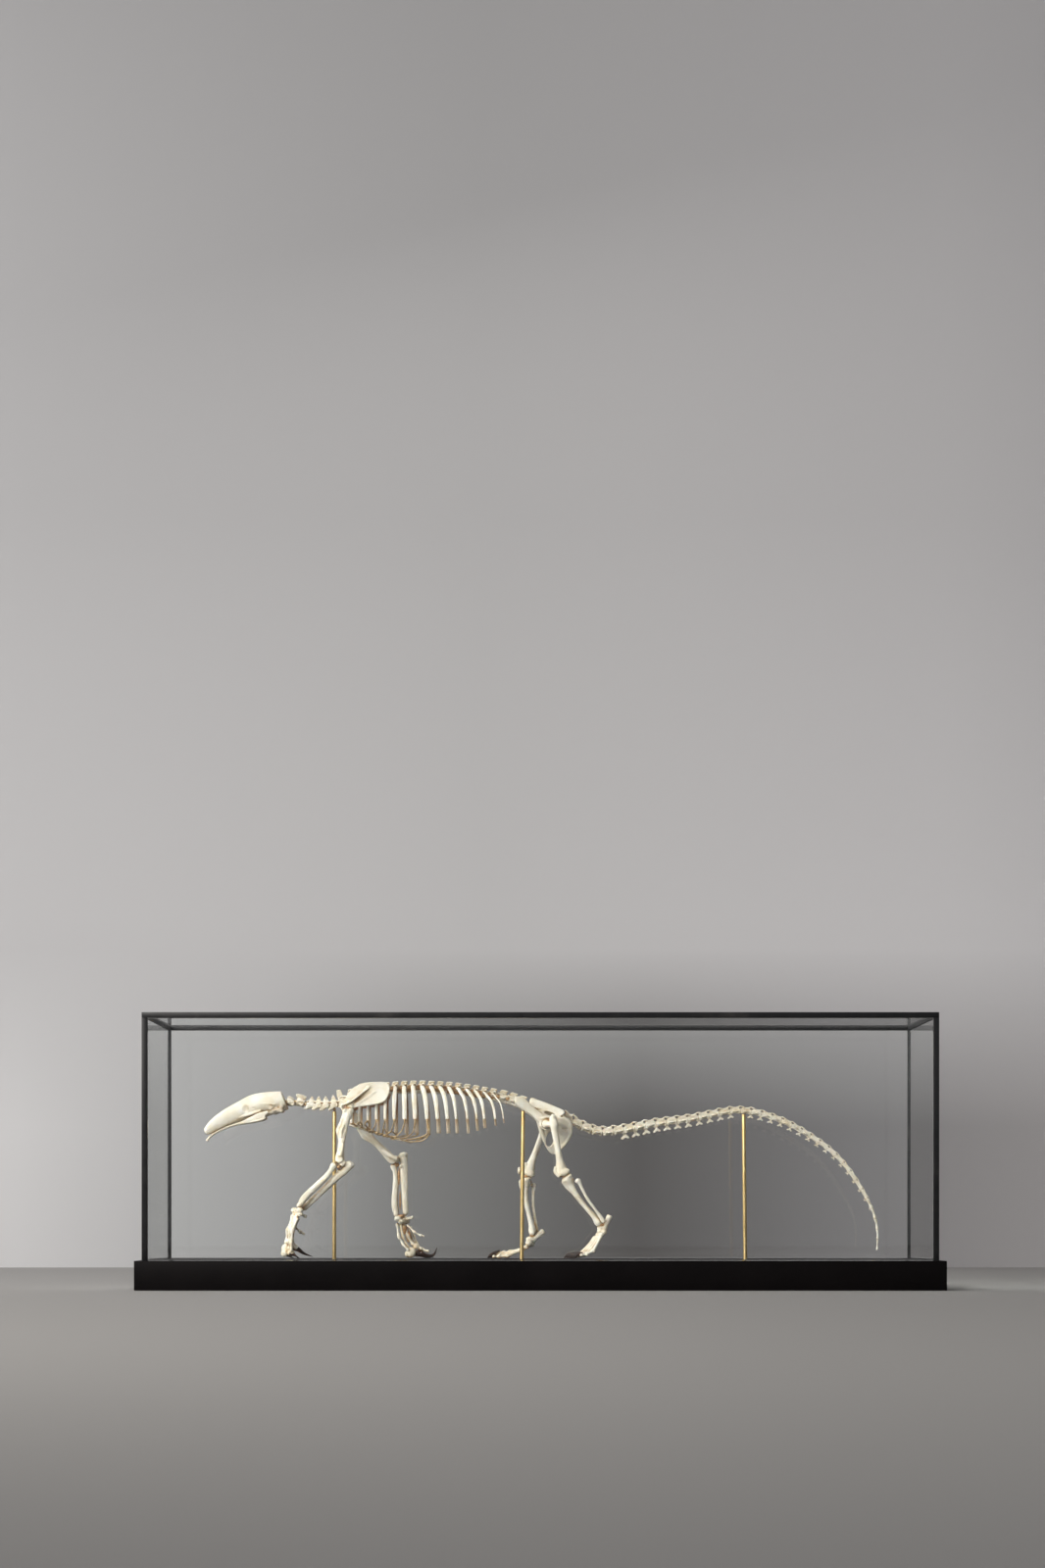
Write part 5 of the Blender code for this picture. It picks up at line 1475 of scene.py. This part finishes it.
FEET = {
    "left": {
        "out": 43, "ankle": (96.5, 91), "heel": (106, 110.5), "tarsus": (92, 84), "instep": (88, 78.5),
        "ball": (73, 56.5), "toe": (63, 51.5), "claw": (55, 50.5), "claw_tip": (43.5, 45.6),
        "fan": (7.4, 0, 1.0),
    },
    "right": {
        "out": 43, "ankle": (-11.2, 72.6), "heel": (6, 87), "tarsus": (-18, 64), "instep": (-24, 60),
        "ball": (-46, 51.6), "toe": (-59, 50.6), "claw": (-67, 50.6), "claw_tip": (-77, 45.6),
        "fan": (3.6, 0, 2.6),
    },
}
# Ligament and cartilage left at the joints: place and size, by limb
JOINT_PADS = {
    "left_arm": (
        ((-303.5, -77, 184.0), (3.4, 4.6, 3.0)), ((-360.5, -62, 120.6), (3.8, 5.6, 3.2)),
        ((-366.5, -63, 118.5), (3.8, 6.4, 2.8)), ((-290, -48.6, 272.4), (5.6, 5.0, 3.6)),
        ((-374, -58, 88), (2.6, 5.0, 12.0)),
    ),
    "right_arm": (
        ((-221.5, 57, 189.5), (4.6, 5.0, 3.6)), ((-217.4, 55, 172), (1.7, 1.4, 15.0)),
        ((-215.7, 53, 134), (1.6, 1.4, 16.0)), ((-213.5, 53, 110), (5.4, 5.6, 3.0)),
        ((-210.5, 54, 90), (5.6, 4.0, 9.0)), ((-202.5, 56, 78), (4.4, 3.6, 9.0)),
        ((-291, 48.6, 271), (5.4, 5.0, 3.6)),
    ),
    "left_leg": (
        ((36.5, -44, 171.4), (8.8, 7.0, 2.4)), ((48.5, -46.5, 165.6), (3.0, 3.0, 2.4)),
        ((93, -44, 97.0), (4.8, 5.0, 2.4)), ((10, -34.6, 251), (6.6, 5.0, 6.8)),
    ),
    "right_leg": (
        ((-21.5, 44, 171.4), (8.6, 7.0, 2.4)), ((-14.6, 47.5, 163), (3.0, 3.0, 2.6)),
        ((-11, 44, 79.6), (4.6, 4.8, 2.4)), ((10, 34.6, 251), (6.4, 5.0, 6.6)),
    ),
}


def build_joint_pads(finishes):
    for word, pads in JOINT_PADS.items():
        piece = fused(f"joint_pads_{word}", [ball(place, radii) for place, radii in pads], MEDIUM, 1,
                      swell=0, relief=0.7)
        dress(piece, finishes["tissue"])


def build_long_bone(finishes, name, word, shells, limb_marks=None):
    """One bone of an arm or leg, put between its two marks if it has them."""
    if limb_marks:
        top, bottom = limb_marks[name]
        matrix = limb_matrix(top, bottom, limb_marks["side"], LENGTHS[name])
        for shell in shells:
            bmesh.ops.transform(shell, matrix=matrix, verts=shell.verts)
    piece = fused(f"{name}_bone_{word}", shells, MEDIUM, 5, swell=0.3, relief=0.6)
    dress(piece, finishes["bone"], [f"{name}_{word}"])


def build_arms(finishes):
    for word, arm in ARMS.items():
        build_shoulder_blade(finishes, arm["side"], word)
        build_long_bone(finishes, "humerus", word, humerus(), arm)
        build_long_bone(finishes, "radius", word, radius(), arm)
        build_long_bone(finishes, "ulna", word, ulna(), arm)
        build_hand(finishes, arm["side"], word, HANDS[word])


def build_legs(finishes):
    for word, leg in LEGS.items():
        build_long_bone(finishes, "femur", word, femur(leg["shaft_back"]), leg)
        build_long_bone(finishes, "tibia", word, tibia(), leg)
        build_long_bone(finishes, "fibula", word, fibula(), leg)
        build_long_bone(finishes, "kneecap", word, [ball(leg["kneecap"], (2.6, 4.6, 5.8))])
        build_foot(finishes, leg["side"], word, FEET[word])


# Case

def build_case(finishes):
    half_width = CASE_WIDTH / 2
    half_depth = CASE_DEPTH / 2
    board = add_object("plinth_board", joined_mesh("plinth_board", [
        block((-PLINTH_WIDTH / 2, -PLINTH_DEPTH / 2, 0),
              (PLINTH_WIDTH / 2, PLINTH_DEPTH / 2, PLINTH_HEIGHT), 0.8, 2)]))
    dress(board, finishes["plinth"], ["plinth"])

    inner_width = half_width - BAR
    inner_depth = half_depth - BAR
    bars = []
    for level in (PLINTH_HEIGHT - BAR, CASE_TOP - BAR):
        for side in (-1, 1):
            bars.append(block((-half_width, min(side * half_depth, side * inner_depth), level),
                              (half_width, max(side * half_depth, side * inner_depth), level + BAR), 0.5))
            bars.append(block((min(side * half_width, side * inner_width), -inner_depth - WELD, level),
                              (max(side * half_width, side * inner_width), inner_depth + WELD, level + BAR),
                              0.5))
    for across in (-1, 1):
        for deep in (-1, 1):
            corner = (min(across * half_width, across * inner_width),
                      min(deep * half_depth, deep * inner_depth))
            bars.append(block((*corner, PLINTH_HEIGHT - WELD),
                              (corner[0] + BAR, corner[1] + BAR, CASE_TOP - BAR + WELD), 0.5))
    piece = add_object("frame_bars", joined_mesh("frame_bars", bars))
    dress(piece, finishes["frame"], ["case_frame"])

    wide = inner_width - GAP
    deep = inner_depth - GAP
    foot = PLINTH_HEIGHT + GAP
    head = CASE_TOP - BAR - GAP
    front = half_depth - BAR / 2
    end = half_width - BAR / 2
    top = CASE_TOP - PANE / 2 - 0.5
    thin = PANE / 2
    panes = {
        "glass_front": ((-wide, -front - thin, foot), (wide, -front + thin, head)),
        "glass_back": ((-wide, front - thin, foot), (wide, front + thin, head)),
        "glass_left": ((-end - thin, -deep, foot), (-end + thin, deep, head)),
        "glass_right": ((end - thin, -deep, foot), (end + thin, deep, head)),
        "glass_top": ((-wide, -deep, top - thin), (wide, deep, top + thin)),
    }
    for name, (corner, far_corner) in panes.items():
        pane = add_object(f"pane_{name[6:]}", joined_mesh(name, [block(corner, far_corner, 0.35, 1)]))
        dress(pane, finishes["glass"], [name])
        pane.data.shade_flat()
    for name, (foot_x, top_x, top_z) in RODS.items():
        low, high = Vector((foot_x, 0, PLINTH_HEIGHT)), Vector((top_x, 0, top_z))
        rings = [(low, ROD_RADIUS, ROD_RADIUS)]
        for share, size in ((0.002, 1.0), (0.5, 1.0), (0.994, 1.0), (0.998, 0.93), (1.0, 0.8)):
            rings.append((low.lerp(high, share), ROD_RADIUS * size, ROD_RADIUS * size))
        piece = add_object(f"brass_{name}",
                           joined_mesh("rod", [tube(rings, 32, ways=[UPWARD] * len(rings))]))
        dress(piece, finishes["brass"], [name])
        piece.data.set_sharp_from_angle(angle=math.radians(35))
    for name in ("plinth_board", "frame_bars"):
        bpy.data.objects[name].data.set_sharp_from_angle(angle=math.radians(35))


# Stage

# The camera's place, its lens, and the shift that frames the case as in the photograph
CAMERA_PLACE = (-26.5, -5100, 111.5)
CAMERA_LENS = 76.5
CAMERA_SHIFT = 0.275


def plain_surface(name, colour, roughness):
    finish = Finish(name, roughness)
    finish.shader.inputs["Base Color"].default_value = (*colour, 1)
    finish.shader.inputs["Specular IOR Level"].default_value = 0.2
    return finish.material


# The wall's greys from left to right, behind the case and above it: painted light and painted shade, the low
# band bright at the left and darkest behind the case, the high band lighter to the right
WALL_LOW_PAINTED_LIGHT_AND_SHADE = (
    (0.0, (0.70, 0.695, 0.70)), (0.24, (0.52, 0.52, 0.525)), (0.38, (0.31, 0.308, 0.306)),
    (0.60, (0.155, 0.148, 0.147)), (0.82, (0.35, 0.34, 0.35)), (1.0, (0.47, 0.455, 0.46)),
)
WALL_HIGH_PAINTED_LIGHT = ((0.0, (0.47, 0.465, 0.47)), (0.45, (0.52, 0.515, 0.52)), (0.9, (0.66, 0.65, 0.66)))


def backdrop_finish():
    """A grey wall with painted light and shade: lighter at the left, painted shade behind the case, and a
    painted brighter band above the case that fades upward.
    """
    finish = Finish("backdrop_painted_light", 0.9)
    across = finish.level(finish.coordinate("X"), -1.1, 1.1)
    low = finish.ramp(across, WALL_LOW_PAINTED_LIGHT_AND_SHADE)
    high = finish.ramp(across, WALL_HIGH_PAINTED_LIGHT)
    # Painted light: the wall just above the case is made brighter, fading out higher up
    painted_light_near_case = finish.mix(1.0, high, (1.22, 1.22, 1.22), "MULTIPLY")
    high = finish.mix(finish.level(finish.coordinate("Z"), 0.75, 1.6), painted_light_near_case, high)
    rise = finish.level(finish.coordinate("Z"), 0.30, 0.68)
    finish.put(finish.shader.inputs["Base Color"], finish.mix(rise, low, high))
    finish.shader.inputs["Specular IOR Level"].default_value = 0.1
    return finish.material


def add_lamp(name, place, target, size, power, colour):
    data = bpy.data.lights.new(name, "AREA")
    data.shape = "RECTANGLE"
    data.size, data.size_y = size
    data.energy = power
    data.color = colour
    lamp = bpy.data.objects.new(name, data)
    lamp.location = place
    lamp.rotation_euler = (Vector(target) - Vector(place)).to_track_quat("-Z", "Y").to_euler()
    bpy.context.scene.collection.objects.link(lamp)


# Each lamp's place, target and size in metres, its power in watts and its colour
LAMPS = {
    "key": ((-2.3, -3.1, 1.9), (-0.1, 0, 0.2), (1.2, 1.0), 86, (1.0, 0.968, 0.92)),
    "edge": ((-3.4, -2.6, 0.5), (-0.1, 0, 0.2), (0.5, 1.7), 20, (1.0, 0.98, 0.95)),
    "fill": ((1.6, -4.2, 1.5), (0, 0, 0.2), (2.0, 1.6), 9, (0.95, 0.97, 1.0)),
    "top": ((-0.5, 0.3, 2.4), (0, 0, 0.2), (2.2, 0.9), 11, (1.0, 0.98, 0.95)),
    "wall": ((-3.4, 0.4, 2.3), (-1.5, 2.0, 0.5), (1.2, 1.2), 62, (1.0, 0.99, 0.985)),
}
# The room's own light, stronger from the left than from the right
ROOM_COLOUR = (0.66, 0.66, 0.68, 1)
ROOM_LIGHT = {"From Min": -1.0, "From Max": 0.7, "To Min": 0.55, "To Max": 0.05}


def build_stage():
    floor = add_object("floor", joined_mesh("floor", [block((-6000, -7000, -20), (6000, 2600, 0))]))
    floor.data.materials.append(plain_surface("grey_floor", (0.33, 0.32, 0.31), 0.8))
    wall = block((-6000, 2000, -20), (6000, 2040, 5000))
    backdrop = add_object("backdrop", joined_mesh("backdrop", [wall]))
    backdrop.data.materials.append(backdrop_finish())

    for name, (place, target, size, power, colour) in LAMPS.items():
        add_lamp(name, place, target, size, power, colour)
    world = bpy.data.worlds.new("studio")
    world.use_nodes = True
    tree = world.node_tree
    way = tree.nodes.new("ShaderNodeTexCoord")
    parts = tree.nodes.new("ShaderNodeSeparateXYZ")
    shade = tree.nodes.new("ShaderNodeMapRange")
    for name, value in ROOM_LIGHT.items():
        shade.inputs[name].default_value = value
    tree.links.new(way.outputs["Generated"], parts.inputs["Vector"])
    tree.links.new(parts.outputs["X"], shade.inputs["Value"])
    tree.links.new(shade.outputs["Result"], tree.nodes["Background"].inputs["Strength"])
    tree.nodes["Background"].inputs["Color"].default_value = ROOM_COLOUR
    bpy.context.scene.world = world

    data = bpy.data.cameras.new("camera")
    data.sensor_width = 36
    data.lens = CAMERA_LENS
    data.shift_y = CAMERA_SHIFT
    data.clip_end = 100
    camera = bpy.data.objects.new("camera", data)
    camera.location = Vector(CAMERA_PLACE) * MM
    camera.rotation_euler = (math.pi / 2, 0, 0)
    bpy.context.scene.collection.objects.link(camera)
    bpy.context.scene.camera = camera
    bpy.context.scene.view_settings.view_transform = "Standard"


def main():
    finishes = {
        "bone": bone_finish("ivory_bone"),
        "skull": skull_finish(),
        # The neck, tail and hand bones take more stain spots and a shorter reach of painted shade in
        # crevices
        "neck": bone_finish("neck_ivory", 0.02, 6.0),
        "tail": bone_finish("tail_ivory", 0.04, 6.0),
        "hand": bone_finish("hand_ivory", 0.10, 5.0),
        "rib": rib_finish(),
        "cartilage": cartilage_finish(),
        "tissue": tissue_finish(),
        "horn": horn_finish(),
        "plinth": plinth_finish(),
        "frame": frame_finish(),
        "brass": brass_finish(),
        "glass": glass_finish(),
    }
    seats = backbone()
    build_case(finishes)
    build_skull(finishes)
    build_jaw(finishes)
    build_neck(finishes, seats["neck"])
    build_chest(finishes, seats["chest"])
    build_breastbone(finishes, seats["chest"])
    build_tissue(finishes, [*seats["chest"][2:], *seats["loin"][:-1]])
    build_loin(finishes, seats["loin"])
    build_hips(finishes, seats["hip"])
    build_tail(finishes, seats["tail"])
    build_arms(finishes)
    build_legs(finishes)
    build_joint_pads(finishes)
    build_stage()


main()
